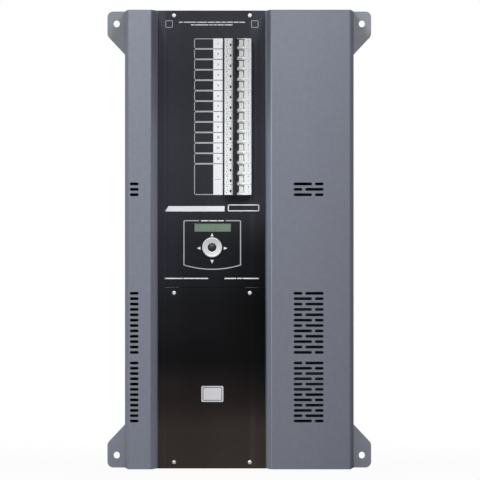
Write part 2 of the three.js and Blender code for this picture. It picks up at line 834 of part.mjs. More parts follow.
// A toggle about its pivot, at rest with its levers leaning left.
function toggle(poles) {
  const half = moduleWidth / 2 - pocketWall;
  const spread = (modulePitch * (poles - 1)) / 2;
  const axleEnd = spread + half + axleReach - seatGap;
  const pieces = [barAlongZ(axleRadius, -axleEnd, axleEnd, axleSides)];
  if (poles > 1) pieces.push(barAlongZ(tieRadius, -spread, spread, axleSides));
  for (let pole = 0; pole < poles; pole += 1) {
    const z = modulePitch * pole - spread;
    const blade = leverBlade().rotateZ(-THREE.MathUtils.degToRad(leverLean));
    pieces.push(barAlongZ(drumRadius, z - half + seatGap, z + half - seatGap, drumSides));
    pieces.push(blade.translate(0, 0, z));
  }
  return join(...pieces);
}

// The display module about the middle of its bezel's front face, with four studs to the board.
function displayModule() {
  const bezel = block(-bezelWidth / 2, bezelWidth / 2, 0, bezelDepth, -bezelHeight / 2, bezelHeight / 2);
  const wide = displayBoardWidth / 2;
  const tall = displayBoardHeight / 2;
  const back = bezelDepth + boardThickness;
  const board = block(-wide, wide, bezelDepth, back, -tall, tall);
  const seat = boardY - seatGap - bezelY;
  const studs = [[-1, -1], [1, -1], [-1, 1], [1, 1]].map(([sideX, sideZ]) =>
    barAlongY(displayStudRadius, back - boardThickness / 2, seat, smallSides)
      .translate(sideX * (wide - displayStudInset), 0, sideZ * (tall - displayStudInset)));
  return join(bezel, board, ...studs);
}

// The tilting ring about its pivots: a crowned face over a skirt with two trunnion holes.
function navRing() {
  const face = -pivotDepth - ringProud;
  const under = face + ringThickness;
  const bore = buttonRadius + ringClearance;
  const skirtOuter = ringRadius - ringSkirtInset;
  const skirtInner = skirtOuter - ringSkirtWall;
  const skirtEnd = under + ringSkirtDepth;
  const ring = turned(
    [
      [bore, under],
      [bore, face + ringEdge],
      [bore + ringEdge, face],
      [ringRadius - ringEdge, face],
      [ringRadius, face + ringEdge],
      [ringRadius, under],
      [skirtOuter, under],
      [skirtOuter, skirtEnd],
      [skirtInner, skirtEnd],
      [skirtInner, under],
      [bore, under],
    ],
    roundSides,
  );
  const reach = ringRadius + overrun;
  return cut(ring, [barAlongZ(trunnionRadius + trunnionPlay, -reach, reach, smallSides)]);
}

// The frame between ring and board: trunnions along Z carry the ring, those along X sit in the guide.
function ringPivotFrame() {
  const inner = guideOuter + frameClearance;
  const outer = inner + frameWall;
  const half = frameThickness / 2;
  const section = [[inner, -half], [outer, -half], [outer, half], [inner, half], [inner, -half]];
  const body = turned(section, roundSides);
  const skirtInner = ringRadius - ringSkirtInset - ringSkirtWall;
  const middle = (inner + outer) / 2;
  return join(
    body,
    barAlongZ(trunnionRadius, middle, skirtInner + trunnionReach, smallSides),
    barAlongZ(trunnionRadius, -skirtInner - trunnionReach, -middle, smallSides),
    barAlongX(trunnionRadius, guideInner + seatGap, middle, smallSides),
    barAlongX(trunnionRadius, -middle, -guideInner - seatGap, smallSides),
  );
}

// The round button about the ring's pivots: a shallow dome on a stem that runs in the guide.
function navButton() {
  const crown = -pivotDepth - buttonProud;
  const rim = crown + buttonDome;
  const seat = boardY - padY - buttonTravel - seatGap;
  const domeDrops = buttonDropShares.map((share) => buttonDome * share);
  const dome = buttonRadiusShares.map((share, i) => [buttonRadius * share, crown + domeDrops[i]]);
  return turned(
    [
      [0, crown],
      ...dome,
      [buttonRadius, rim],
      [buttonRadius, -frameThickness],
      [stemRadius, -frameThickness],
      [stemRadius, seat],
      [0, seat],
    ],
    roundSides,
  );
}

// The control board with its studs to the panel and the guide of the round button.
function controlBoard() {
  const wide = boardWidth / 2;
  const tall = boardHeight / 2;
  const seat = panelBackY + seatGap;
  const centreX = panelCentreX + padOffset;
  const centreZ = padZ + boardCentreRise;
  const back = boardY + boardThickness;
  const board = block(centreX - wide, centreX + wide, boardY, back, centreZ - tall, centreZ + tall);
  const studs = [[-1, -1], [1, -1], [-1, 1], [1, 1]].map(([sideX, sideZ]) =>
    barAlongY(boardStudRadius, seat, boardY + boardThickness / 2, smallSides)
      .translate(centreX + sideX * (wide - boardStudInset), 0, centreZ + sideZ * (tall - boardStudInset)));
  const guideStart = padY - frameThickness / 2;
  const guideEnd = boardY + boardThickness / 2;
  const guide = turned(
    [
      [guideInner, guideStart],
      [guideOuter, guideStart],
      [guideOuter, guideEnd],
      [guideInner, guideEnd],
      [guideInner, guideStart],
    ],
    roundSides,
  ).translate(padX, 0, padZ);
  const reach = guideOuter + overrun;
  const holes = barAlongX(trunnionRadius + trunnionPlay, -reach, reach, smallSides);
  return cut(join(board, ...studs, guide), [holes.translate(padX, padY, padZ)]);
}

// The heat sink about the middle of its rear edge: fins to the back, a thick base in front.
function heatSink() {
  const half = sinkWidth / 2;
  const base = -sinkDepth + sinkBase;
  const step = (sinkWidth - sinkFin) / (sinkFinCount - 1);
  const points = [new THREE.Vector2(half, -sinkDepth)];
  for (let fin = 0; fin < sinkFinCount; fin += 1) {
    const outerX = half - fin * step;
    points.push(
      ...(fin ? [new THREE.Vector2(outerX, base)] : []),
      new THREE.Vector2(outerX, 0),
      new THREE.Vector2(outerX - sinkFin, 0),
      ...(fin < sinkFinCount - 1 ? [new THREE.Vector2(outerX - sinkFin, base)] : []),
    );
  }
  points.push(new THREE.Vector2(-half, -sinkDepth));
  return upright(points, 0, sinkLength);
}

// A thyristor module about the middle of its base plate: two low ears and a tall middle.
function thyristorModule() {
  const wide = thyristorWidth / 2;
  const tall = thyristorHeight / 2;
  const ears = block(-wide, wide, -thyristorEarDepth, 0, -tall, tall);
  const middle = block(-wide + thyristorEar, wide - thyristorEar, -thyristorDepth, 0, -tall, tall);
  return join(ears, middle);
}

// A bank of ring chokes with their axes along X, on a strip that lies on the back plate.
function chokeBank(columns) {
  const rows = bankChokeCount / columns;
  const pitchX = chokeWidth + chokeSpace;
  const halfLength = (rows * chokePitch) / 2;
  const halfWide = (columns * pitchX - chokeSpace) / 2;
  const pieces = [block(-halfWide, halfWide, -chokeStrip, 0, -halfLength, halfLength)];
  const outer = chokeOuter / 2;
  const inner = chokeInner / 2;
  const thick = chokeWidth / 2;
  const centreY = -chokeStrip - outer + chokeSink;
  for (let row = 0; row < rows; row += 1) {
    for (let column = 0; column < columns; column += 1) {
      const x = (column - (columns - 1) / 2) * pitchX;
      const z = (row - (rows - 1) / 2) * chokePitch;
      const profile = [[inner, -thick], [outer, -thick], [outer, thick], [inner, thick], [inner, -thick]];
      pieces.push(turned(profile, chokeSides).rotateZ(-Math.PI / 2).translate(x, centreY, z));
      const foot = chokeFoot / 2;
      const footTop = centreY + outer * Math.cos(Math.PI / chokeSides) - chokeSink;
      pieces.push(block(x - foot, x + foot, footTop, -chokeStrip / 2, z - foot, z + foot));
    }
  }
  return join(...pieces);
}

// A terminal block about its rear middle: a body with a barrier wall at each side of every pole.
function terminalBlock(width, height, depth, poles) {
  const half = width / 2;
  const tall = height / 2;
  const pieces = [block(-half, half, -depth, 0, -tall, tall)];
  const step = (width - barrierWall) / poles;
  for (let wall = 0; wall <= poles; wall += 1) {
    const x = -half + wall * step;
    pieces.push(block(x, x + barrierWall, -depth - barrierRise, -depth / 2, -tall, tall));
  }
  return join(...pieces);
}

function earthBar() {
  const half = earthLength / 2;
  const tall = earthHeight / 2;
  const front = -earthFoot - earthThickness;
  const bar = block(-half, half, front, -earthFoot, -tall, tall);
  const feet = [
    block(-half, -half + earthFoot, -earthFoot - earthThickness / 2, 0, -tall, tall),
    block(half - earthFoot, half, -earthFoot - earthThickness / 2, 0, -tall, tall),
  ];
  const step = (earthLength - 2 * earthFoot) / earthHoleCount;
  const holes = Array.from({ length: earthHoleCount }, (_, i) => {
    const hole = barAlongY(earthHoleRadius, front - overrun, -earthFoot + overrun, smallSides);
    return hole.translate(-half + earthFoot + step * (i + 0.5), 0, 0);
  });
  return cut(join(bar, ...feet), holes);
}

// The control transformer about its rear middle: flange, core and the winding that stands out of it.
function transformer() {
  const near = -coreFlange / 2;
  const centreY = near - coreDepth / 2;
  const tall = coreHeight / 2;
  return join(
    block(-coreFlangeWidth / 2, coreFlangeWidth / 2, -coreFlange, 0, -tall, tall),
    block(-coreWidth / 2, coreWidth / 2, near - coreDepth, near, -tall, tall),
    block(
      -windingWidth / 2, windingWidth / 2, centreY - windingDepth / 2, centreY + windingDepth / 2,
      -windingHeight / 2, windingHeight / 2,
    ),
  );
}

function dataSocket() {
  const half = socketWidth / 2;
  const body = block(-half, half, -socketDepth, 0, -socketHeight / 2, socketHeight / 2);
  const mouths = [-1, 1].map((side) => {
    const x = (side * socketWidth) / 4;
    const wide = socketMouthWidth / 2;
    const tall = socketMouthHeight / 2;
    const floor = -socketDepth + socketMouthDepth;
    return block(x - wide, x + wide, -socketDepth - overrun, floor, -tall, tall);
  });
  return cut(body, mouths);
}

// Assembly
const dimmerPack = new THREE.Group();

const housing = new THREE.Group();
dimmerPack.add(housing);
addPart(housing, "back_plate", backPlate(), platePaint);
addPart(housing, "top_end_plate", topEndPlate(), housingPaint);
addPart(housing, "bottom_end_plate", rightSideOut(bottomEndPlate()), housingPaint);
addPart(housing, "left_cover", leftCover(), housingPaint);
addPart(housing, "right_cover", rightCover(), housingPaint);
addPart(housing, "upper_panel", upperPanel(), panelPaint);
addPart(housing, "lower_panel", lowerPanel(), panelPaint);
addPart(housing, "left_partition", leftPartition(), zincSteel);
addPart(housing, "right_partition", rightPartition(), zincSteel);
const screwSeatY = panelY - seatGap;
screwPlaces.forEach(({ name, x, z }) => addPart(housing, name, panelScrew(), brightSteel, x, screwSeatY, z));

// Breakers on the rail, numbered from the top, with the main breaker below them
const breakerStack = new THREE.Group();
breakerStack.position.set(stackX, railSeatY, 0);
dimmerPack.add(breakerStack);
addPart(breakerStack, "din_rail", dinRail(), zincSteel, 0, 0, (stackTop + stackBottom) / 2);
for (let channel = 1; channel <= channelCount; channel += 1) {
  const z = stackTop - modulePitch * (channel - 0.5);
  addPart(breakerStack, `channel_breaker_${channel}`, breaker(1), breakerPlastic, 0, 0, z);
  addPart(breakerStack, `channel_toggle_${channel}`, toggle(1), leverPlastic, pivotOffset, -pivotHeight, z);
}
const mainZ = stackBottom + (modulePitch * mainPoles) / 2;
addPart(breakerStack, "main_breaker", breaker(mainPoles), breakerPlastic, 0, 0, mainZ);
addPart(breakerStack, "main_toggle", toggle(mainPoles), leverPlastic, pivotOffset, -pivotHeight, mainZ);

// Display, pad and control board
const controls = new THREE.Group();
dimmerPack.add(controls);
const lensOutline = roundedOutline(0, 0, lensWidth, lensHeight, lensCorner, lensCornerSteps);
const lens = facing(lensOutline, lensSink, lensSink + lensThickness);
addPart(controls, "display_window", lens, lensGlass, displayX, panelY, displayZ);
addPart(controls, "display_module", displayModule(), boardGreen, displayX, bezelY, displayZ);
addPart(controls, "control_board", controlBoard(), boardGreen);
addPart(controls, "nav_ring", navRing(), ringSilver, padX, padY, padZ);
addPart(controls, "ring_pivot_frame", ringPivotFrame(), darkPlastic, padX, padY, padZ);
addPart(controls, "nav_button", navButton(), buttonPlastic, padX, padY, padZ);

// Power parts on the back plate
const power = new THREE.Group();
power.position.set(0, seatY, 0);
dimmerPack.add(power);
const sinkZ = -halfHeight + sinkRise;
addPart(power, "heat_sink", heatSink(), sinkAluminium, rightBayX, 0, sinkZ);
for (let i = 0; i < moduleCount; i += 1) {
  const z = sinkZ + thyristorEndSpace + (i * (sinkLength - 2 * thyristorEndSpace)) / (moduleCount - 1);
  const y = -sinkDepth - seatGap;
  addPart(power, `thyristor_module_${i + 1}`, thyristorModule(), darkPlastic, rightBayX, y, z);
}
const bankHalf = (bankLength(leftColumnCount) + bankSpace) / 2;
addPart(power, "choke_bank_1", chokeBank(leftColumnCount), copperWinding, leftBayX, 0, bankHalf);
addPart(power, "choke_bank_2", chokeBank(leftColumnCount), copperWinding, leftBayX, 0, -bankHalf);
const sinkTop = sinkZ + sinkLength;
addPart(
  power, "choke_bank_3", chokeBank(rightColumnCount), copperWinding,
  rightBayX, 0, sinkTop + bankSpace + bankLength(rightColumnCount) / 2,
);

// The height of a piece in the lower middle bay, where all of them lie with like spaces from the seam down.
function lowerPlace(order) {
  const above = lowerPieces.slice(0, order).reduce((a, b) => a + b, 0);
  return seamZ - lowerSpace * (order + 1) - above - lowerPieces[order] / 2;
}

const loadBlock = terminalBlock(loadWidth, loadHeight, loadDepth, channelCount);
addPart(power, "load_terminal_block", loadBlock, terminalPlastic, middleX, 0, lowerPlace(1));
const supplyBlock = terminalBlock(supplyWidth, supplyHeight, supplyDepth, supplyPoleCount);
addPart(power, "supply_terminal_block", supplyBlock, terminalPlastic, middleX, 0, lowerPlace(2));
addPart(power, "earth_bar", earthBar(), barBrass, middleX, 0, lowerPlace(3));
addPart(power, "control_transformer", transformer(), darkPlastic, middleX, 0, padZ - coreDrop);
addPart(power, "data_socket", dataSocket(), darkPlastic, middleX, 0, lowerPlace(0));

export default dimmerPack;
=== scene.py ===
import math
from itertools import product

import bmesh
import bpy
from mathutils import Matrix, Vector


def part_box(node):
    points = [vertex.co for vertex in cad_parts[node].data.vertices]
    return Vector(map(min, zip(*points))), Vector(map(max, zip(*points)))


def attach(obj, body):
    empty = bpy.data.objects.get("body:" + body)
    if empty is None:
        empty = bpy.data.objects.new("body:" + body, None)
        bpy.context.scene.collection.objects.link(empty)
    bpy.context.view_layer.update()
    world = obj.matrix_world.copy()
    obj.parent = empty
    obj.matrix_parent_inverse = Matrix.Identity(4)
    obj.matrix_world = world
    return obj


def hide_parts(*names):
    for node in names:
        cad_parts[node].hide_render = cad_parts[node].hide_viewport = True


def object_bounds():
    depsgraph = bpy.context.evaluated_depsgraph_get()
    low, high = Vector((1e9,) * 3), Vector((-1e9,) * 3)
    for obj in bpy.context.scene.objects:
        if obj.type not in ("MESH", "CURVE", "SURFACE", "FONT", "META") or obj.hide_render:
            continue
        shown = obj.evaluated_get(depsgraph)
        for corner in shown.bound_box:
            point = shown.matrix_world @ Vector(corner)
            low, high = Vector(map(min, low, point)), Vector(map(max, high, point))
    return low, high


bl_info = {
    "name": "Wall Dimmer Pack",
    "version": (1, 0, 0),
    "blender": (4, 5, 0),
    "location": "3D View > Sidebar > Dimmer Pack",
    "description": "Models the finished surfaces of a wall-mounted dimmer pack",
    "category": "Object",
}

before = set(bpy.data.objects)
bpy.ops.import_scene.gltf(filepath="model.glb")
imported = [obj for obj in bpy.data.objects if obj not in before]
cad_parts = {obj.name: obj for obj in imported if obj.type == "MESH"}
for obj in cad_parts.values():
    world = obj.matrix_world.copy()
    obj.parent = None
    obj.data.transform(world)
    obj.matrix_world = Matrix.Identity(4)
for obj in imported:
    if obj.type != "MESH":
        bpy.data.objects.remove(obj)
CAD_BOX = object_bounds()

MM = 0.001
QUARTER = math.pi / 2
CABINET = "cabinet"
CHANNELS = range(1, 13)
POLES = (-1, 0, 1)
LEFT, RIGHT = -1, 1
CORNERS = list(product((LEFT, RIGHT), (LEFT, RIGHT)))
COVERS = {LEFT: "left_cover", RIGHT: "right_cover"}


def low(node):
    """Lowest corner of a CAD node."""
    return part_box(node)[0]


def high(node):
    """Highest corner of a CAD node."""
    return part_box(node)[1]


def centre(node):
    """Centre of a CAD node's box."""
    return (low(node) + high(node)) / 2


def mm(*values):
    """Millimetres as metres."""
    return [value * MM for value in values]


# Values that a user can change

def length(name, description, millimetres):
    """A size, given in millimetres and kept in metres."""
    return bpy.props.FloatProperty(
        name=name, description=description, default=millimetres * MM, unit="LENGTH", precision=4
    )


def colour(name, description, default):
    """A linear colour."""
    return bpy.props.FloatVectorProperty(
        name=name, description=description, default=default, size=3, min=0, max=1, subtype="COLOR"
    )


def power(name, description, default):
    """The power of a lamp."""
    return bpy.props.FloatProperty(name=name, description=description, default=default, unit="POWER")


class DimmerCabinetSizes(bpy.types.PropertyGroup):
    """Sizes of the wall plate and the two covers."""

    cover_sheet: length("Cover sheet", "Thickness of the covers' sheet", 1.5)
    bend: length("Bend", "Inner radius of a bend in the sheet", 1.5)
    base_half: length("Half base", "Half the width of the cabinet at the wall", 196)
    front_taper: length("Front taper", "How far a side leans in at the front", 6.7)
    flange: length("Return flange", "Width of a cover's rear flange", 14)
    left_run: length("Left wall run", "Sideways run of the left cover's inner wall", 8.6)
    right_run: length("Right wall run", "Sideways run of the right cover's inner wall", 7)
    foot_show: length("Foot shown", "Width of foot between inner wall and panel", 2.8)
    foot_depth: length("Foot front", "Depth of the covers' feet behind the panels", 1.8)
    ear_tip: length("Ear tip", "Height of an ear at its outer side", 42)
    ear_root: length("Ear root", "Height of an ear where it leaves the plate", 74)
    ear_corner: length("Ear corner", "Radius of an ear's outer corner", 9.8)
    hole_width: length("Hole width", "Width of a fixing hole", 10.2)
    hole_height: length("Hole height", "Height of a fixing hole", 11.4)
    hole_side: length("Hole from side", "Fixing hole centre from the ear's side", 16)
    hole_end: length("Hole from end", "Fixing hole centre from the ear's end", 21.25)
    edge: length("Sheet edge", "Softening of a painted sheet edge", 0.35)


class DimmerVentSizes(bpy.types.PropertyGroup):
    """Sizes and places of the vent slots."""

    height: length("Slot height", "Height of a vent slot", 4.7)
    short: length("Short slot", "Length of a short slot", 14.8)
    long: length("Long slot", "Length of a long slot", 31.1)
    space: length("Slot space", "Space between the slots of a row", 4.9)
    left_inset: length("Left inset", "Left slots from the cover's front corner", 3.3)
    right_inset: length("Right inset", "Right slots from the cover's front corner", 46.0)
    upper_row: length("Upper rows", "Height of the upper group's first row", 94.5)
    upper_pitch: length("Upper pitch", "Distance from row to row of the upper group", 9.2)
    middle_row: length("Middle rows", "Height of the middle group's first row", -91.5)
    middle_pitch: length("Middle pitch", "Distance from row to row of the middle group", 9.13)
    lower_row: length("Lower rows", "Height of the lower group's first row", -210.0)
    lower_pitch: length("Lower pitch", "Distance from row to row of the lower group", 8.96)


class DimmerPanelSizes(bpy.types.PropertyGroup):
    """Sizes of the two black panels, their openings and what is printed on them."""

    window_space: length("Window space", "Space between breakers and window edge", 1)
    fit: length("Fit", "Space round the display and behind heads", 0.3)
    ring_space: length("Ring space", "Space between the ring and its hole", 0.8)
    edge: length("Panel edge", "Softening of a panel's edge", 0.3)
    ink: length("Ink", "Height of the printed ink", 0.06)
    table_left: length("Table left", "Left side of the channel table", -77.1)
    label_left: length("Label left", "Left side of the white label column", -44.35)
    label_right: length("Label right", "Right side of the white label column", -28.05)
    row_line: length("Row line", "Width of the line round a table row", 2.7)
    row_round: length("Row corner", "Radius of a row's left corners", 3.4)
    label_gap: length("Label line", "Width of the line between two labels", 1.1)
    number_height: length("Number size", "Size of the channel numbers", 4.6)
    frame_line: length("Frame line", "Width of the line round the pad", 1.7)


class DimmerBreakerSizes(bpy.types.PropertyGroup):
    """Sizes of a breaker module and its toggle."""

    pitch: length("Module pitch", "Distance from module to module", 17.82)
    nose_left: length("Nose left", "Left side of the breaker's nose", -25.25)
    nose_right: length("Nose right", "Right side of the breaker's nose", 20.45)
    nose_rise: length("Nose rise", "Height of the nose over its shoulders", 16)
    pocket_left: length("Pocket left", "Left side of the toggle's pocket", -11.1)
    pocket_right: length("Pocket right", "Right side of the toggle's pocket", 8.2)
    pocket_top: length("Pocket top", "Top of the pocket over the module's middle", 7.6)
    pocket_bottom: length("Pocket bottom", "Bottom of the pocket deep down", -4.9)
    pocket_lip: length("Pocket lip", "Bottom of the pocket at its mouth", -8.3)
    pocket_slope: length("Pocket slope", "Depth of the slope under the toggle", 2.3)
    pivot_x: length("Pivot x", "Toggle axis from the middle of the cabinet", -1.25)
    pivot_y: length("Pivot y", "Toggle axis from the wall", -81.5)
    drum: length("Drum radius", "Radius of the toggle's drum", 9.1)
    drum_flat: length("Drum flat", "Flat of the drum from its axis", 4.7)
    lean: bpy.props.FloatProperty(
        name="Lean", description="Lean of the lever to the left", default=math.radians(33), subtype="ANGLE"
    )
    edge: length("Moulded edge", "Softening of a moulded edge", 0.4)


class DimmerPadSizes(bpy.types.PropertyGroup):
    """Sizes of the display and the round pad."""

    ring: length("Ring radius", "Outer radius of the ring", 17.15)
    bore: length("Ring bore", "Inner radius of the ring", 7.3)
    dish: length("Ring dish", "Depth of the ring's dished face", 1.15)
    button: length("Button radius", "Radius of the round button", 6.7)
    dome: length("Button dome", "Rise of the button's crown", 4)
    arrow_gap: length("Arrow distance", "Pad centre to the middle of an arrow", 22)
    arrow_drop: length("Arrow drop", "Middle of the arrows below the pad's centre", 1.2)
    arrow_length: length("Arrow length", "Length of a printed arrow", 6.1)
    arrow_width: length("Arrow width", "Width of a printed arrow", 5.2)


class DimmerFinish(bpy.types.PropertyGroup):
    """Colours of the finishes, linear."""

    housing: colour("Housing", "Blue-grey powder coat of the covers", (0.252, 0.267, 0.322))
    plate: colour("Plate", "Grey powder coat of the wall plate", (0.283, 0.293, 0.316))
    panel: colour("Panel", "Black powder coat of the panels", (0.0252, 0.027, 0.031))
    ink_white: colour("White ink", "White print", (0.84, 0.84, 0.87))
    ink_grey: colour("Grey ink", "Grey print", (0.43, 0.43, 0.445))
    ink_outline: colour("Outline ink", "Print round the pad", (0.54, 0.54, 0.56))
    ink_number: colour("Number ink", "Print of the channel numbers", (0.1, 0.1, 0.12))
    case: colour("Breaker case", "Moulded case of the breakers", (0.8, 0.82, 0.83))
    drum: colour("Toggle drum", "Moulded drum of the toggles", (0.77, 0.77, 0.75))
    lever: colour("Toggle lever", "Moulded black lever", (0.011, 0.011, 0.012))
    display: colour("Display", "Lit face of the display", (0.105, 0.187, 0.112))
    ring: colour("Ring", "Satin silver of the ring", (0.76, 0.76, 0.77))
    button: colour("Button", "Dark dome of the button", (0.018, 0.02, 0.025))
    steel: colour("Plated steel", "Zinc-plated sheet and rail", (0.55, 0.56, 0.57))
    screw: colour("Screw steel", "Bright nickel of the screw heads", (0.9, 0.9, 0.91))


class DimmerStage(bpy.types.PropertyGroup):
    """Camera, lamps and floor."""

    view_distance: length("View distance", "Camera from the front of the cabinet", 17000)
    view_height: length("View height", "Height that the camera takes in at the front", 816)
    view_x: length("View x", "Sideways place of the camera", 1.2)
    view_z: length("View z", "Height of the camera", -0.85)
    key: power("Key lamp", "Lamp at the upper left", 18)
    fill: power("Fill lamp", "Lamp at the upper right", 16)
    strip: power("Strip lamp", "Tall soft lamp at the left", 10.2)
    back: power("Back lamp", "Lamp behind the wall plate, for views from behind", 30)
    ambient: bpy.props.FloatProperty(
        name="Ambient", description="Strength of the soft light from all round", default=0.21
    )
    floor_size: length("Floor size", "Side of the square floor", 60000)


GROUPS = {
    "dimmer_cabinet": DimmerCabinetSizes,
    "dimmer_vents": DimmerVentSizes,
    "dimmer_panels": DimmerPanelSizes,
    "dimmer_breakers": DimmerBreakerSizes,
    "dimmer_pad": DimmerPadSizes,
    "dimmer_finish": DimmerFinish,
    "dimmer_stage": DimmerStage,
}


def values(group):
    """The present values of one group."""
    return getattr(bpy.context.scene, "dimmer_" + group)


# Selecting and shaping

def deselect_all():
    """Leaves edit mode and selects nothing."""
    active = bpy.context.view_layer.objects.active
    if active is not None and active.mode != "OBJECT":
        bpy.ops.object.mode_set(mode="OBJECT")
    bpy.ops.object.select_all(action="DESELECT")


def work_on(piece):
    """Makes one piece the only selected object."""
    deselect_all()
    piece.select_set(True)
    bpy.context.view_layer.objects.active = piece
    return piece


def settle(piece):
    """Moves the place, turn and scale of a piece into its mesh."""
    work_on(piece)
    bpy.ops.object.transform_apply(location=True, rotation=True, scale=True)
    return piece


def named(name):
    """Names the object that was just added and settles it."""
    piece = bpy.context.object
    piece.name = name
    piece.data.name = name
    return settle(piece)


def block(name, start, end):
    """A box between two corners."""
    start, end = Vector(start), Vector(end)
    deselect_all()
    bpy.ops.mesh.primitive_cube_add(size=1, location=(start + end) / 2, scale=end - start)
    return named(name)


def rod(name, place, radius, depth, sides, axis="Y"):
    """A cylinder round a place, along Y or Z."""
    turn = (QUARTER if axis == "Y" else 0, 0, 0)
    deselect_all()
    bpy.ops.mesh.primitive_cylinder_add(
        vertices=sides, radius=radius, depth=depth, location=place, rotation=turn
    )
    return named(name)


def middle(part):
    """The middle of an edge or face."""
    if isinstance(part, bmesh.types.BMFace):
        return part.calc_center_median()
    return (part.verts[0].co + part.verts[1].co) / 2


def runs(edge, axis):
    """True where an edge runs along axis 0, 1 or 2."""
    run = edge.verts[1].co - edge.verts[0].co
    return abs(run[axis]) > 0.99 * run.length


def anywhere(part):
    """A test that everything passes."""
    return True


def pick(piece, kind, test):
    """Enters edit mode with only the faces, edges or vertices that pass the test selected."""
    work_on(piece)
    bpy.ops.object.mode_set(mode="EDIT")
    bpy.ops.mesh.select_mode(type=kind)
    bpy.ops.mesh.select_all(action="DESELECT")
    form = bmesh.from_edit_mesh(piece.data)
    for part in {"VERT": form.verts, "EDGE": form.edges, "FACE": form.faces}[kind]:
        if test(part):
            part.select_set(True)
    form.select_flush_mode()
    bmesh.update_edit_mesh(piece.data)


def move_picked(x=0, z=0):
    """Moves what is selected sideways or upwards."""
    bpy.ops.transform.translate(value=(x, 0, z))


def cut_across(piece, place, normal):
    """Cuts an edge loop round a piece where a plane crosses it."""
    pick(piece, "FACE", anywhere)
    bpy.ops.mesh.bisect(plane_co=place, plane_no=normal)


def round_edges(piece, axis, radius, segments=6, test=anywhere):
    """Rounds the edges that run along an axis and whose middle passes the test."""
    pick(piece, "EDGE", lambda edge: runs(edge, axis) and test(middle(edge)))
    bpy.ops.mesh.bevel(offset=radius, segments=segments, affect="EDGES")
    deselect_all()
    return piece


def rounded_plate(name, start, end, radius, segments=6, test=anywhere):
    """A box whose edges across the front are rounded."""
    return round_edges(block(name, start, end), 1, radius, segments, test)


def oblong(name, start, end):
    """A box with round ends, for a slot."""
    start, end = Vector(start), Vector(end)
    almost_half = 0.499
    return rounded_plate(name, start, end, almost_half * min(end.x - start.x, end.z - start.z), 5)


def joined(name, pieces):
    """Several pieces as one."""
    deselect_all()
    for piece in pieces:
        piece.select_set(True)
    bpy.context.view_layer.objects.active = pieces[0]
    bpy.ops.object.join()
    pieces[0].name = name
    return pieces[0]


def apply_modifier(piece, kind, **settings):
    """Adds a modifier to a piece and applies it."""
    modifier = work_on(piece).modifiers.new(kind, kind)
    for name, value in settings.items():
        setattr(modifier, name, value)
    bpy.ops.object.modifier_apply(modifier=modifier.name)
    return piece


def combine(piece, cutters, operation):
    """Cuts or joins one solid with others, which are used up."""
    tool = joined(piece.name + "_tool", cutters)
    apply_modifier(piece, "BOOLEAN", operation=operation, solver="EXACT", object=tool)
    bpy.data.objects.remove(tool)
    return piece


def carve(piece, *cutters):
    """Cuts solids out of a piece."""
    return combine(piece, list(cutters), "DIFFERENCE")


def soften(piece, width, segments=2, limit=35):
    """Softens the sharp edges and shades the flats flat."""
    bevel = {"width": width, "segments": segments, "limit_method": "ANGLE"}
    apply_modifier(piece, "BEVEL", angle_limit=math.radians(limit), **bevel)
    bpy.ops.object.shade_smooth()
    return apply_modifier(piece, "WEIGHTED_NORMAL")


def copy_of(piece, name, shift):
    """A copy with its own mesh, moved."""
    work_on(piece)
    bpy.ops.object.duplicate()
    twin = bpy.context.object
    twin.location = shift
    twin.name = name
    return settle(twin)


def lathed(name, profile, place, steps, smooth_to=None):
    """A profile of (radius, depth) points spun round an axis along Y through a place.

    Edges sharper than smooth_to degrees stay sharp.
    """
    start = Vector(place)
    deselect_all()
    bpy.ops.mesh.primitive_plane_add(size=1 * MM)
    piece = bpy.context.object
    bpy.ops.object.mode_set(mode="EDIT")
    bpy.ops.mesh.delete(type="VERT")
    form = bmesh.from_edit_mesh(piece.data)
    points = [form.verts.new(start + Vector((radius, depth, 0))) for radius, depth in profile]
    for ends in zip(points, points[1:]):
        form.edges.new(ends)
    bmesh.update_edit_mesh(piece.data)
    bpy.ops.mesh.select_all(action="SELECT")
    bpy.ops.mesh.spin(steps=steps, angle=2 * math.pi, center=start, axis=(0, 1, 0))
    bpy.ops.mesh.select_all(action="SELECT")
    bpy.ops.mesh.remove_doubles(threshold=0.001 * MM)
    bpy.ops.mesh.normals_make_consistent(inside=False)
    deselect_all()
    named(name)
    if smooth_to:
        bpy.ops.object.shade_smooth_by_angle(angle=math.radians(smooth_to))
    return piece


def finish_piece(piece, material, slot, *nodes, body=CABINET):
    """Gives a piece its material, hangs it on the body that it rides on and hides the CAD nodes that it
    stands for.
    """
    piece.data.materials.clear()
    piece.data.materials.append(material)
    if nodes:
        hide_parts(*nodes)
    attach(piece, body)
    return piece


# Nodes of the materials

def connect(tree, node, inputs):
    """Sets a node's inputs, and links those whose value is another node's output."""
    for name, value in inputs.items():
        if isinstance(value, bpy.types.NodeSocket):
            tree.links.new(value, node.inputs[name])
        else:
            node.inputs[name].default_value = value
    return node


def add(tree, kind, inputs=None, **settings):
    """A new shader node with its settings and inputs."""
    node = tree.nodes.new("ShaderNode" + kind)
    for name, value in settings.items():
        setattr(node, name, value)
    return connect(tree, node, inputs or {})


def shader_of(tree):
    """The main shader of a material."""
    return tree.nodes["Principled BSDF"]


def object_place(tree, stretch=(1, 1, 1)):
    """Object coordinates, stretched by a Mapping node."""
    place = add(tree, "TexCoord").outputs["Object"]
    return add(tree, "Mapping", {"Scale": stretch, "Vector": place}).outputs["Vector"]


def noise(tree, scale, detail, stretch=(1, 1, 1)):
    """A noise pattern with features of about one over the scale, in metres."""
    inputs = {"Scale": scale, "Detail": detail, "Vector": object_place(tree, stretch)}
    return add(tree, "TexNoise", inputs).outputs["Fac"]


def spread(tree, value, least=0, most=1):
    """A pattern's middle range spread between two values."""
    inputs = {"From Min": 0.3, "From Max": 0.7, "To Min": least, "To Max": most, "Value": value}
    return add(tree, "MapRange", inputs).outputs["Result"]


def scaled(paint, share):
    """A colour multiplied by a share, with its alpha."""
    return (*[min(1, level * share) for level in paint], 1)


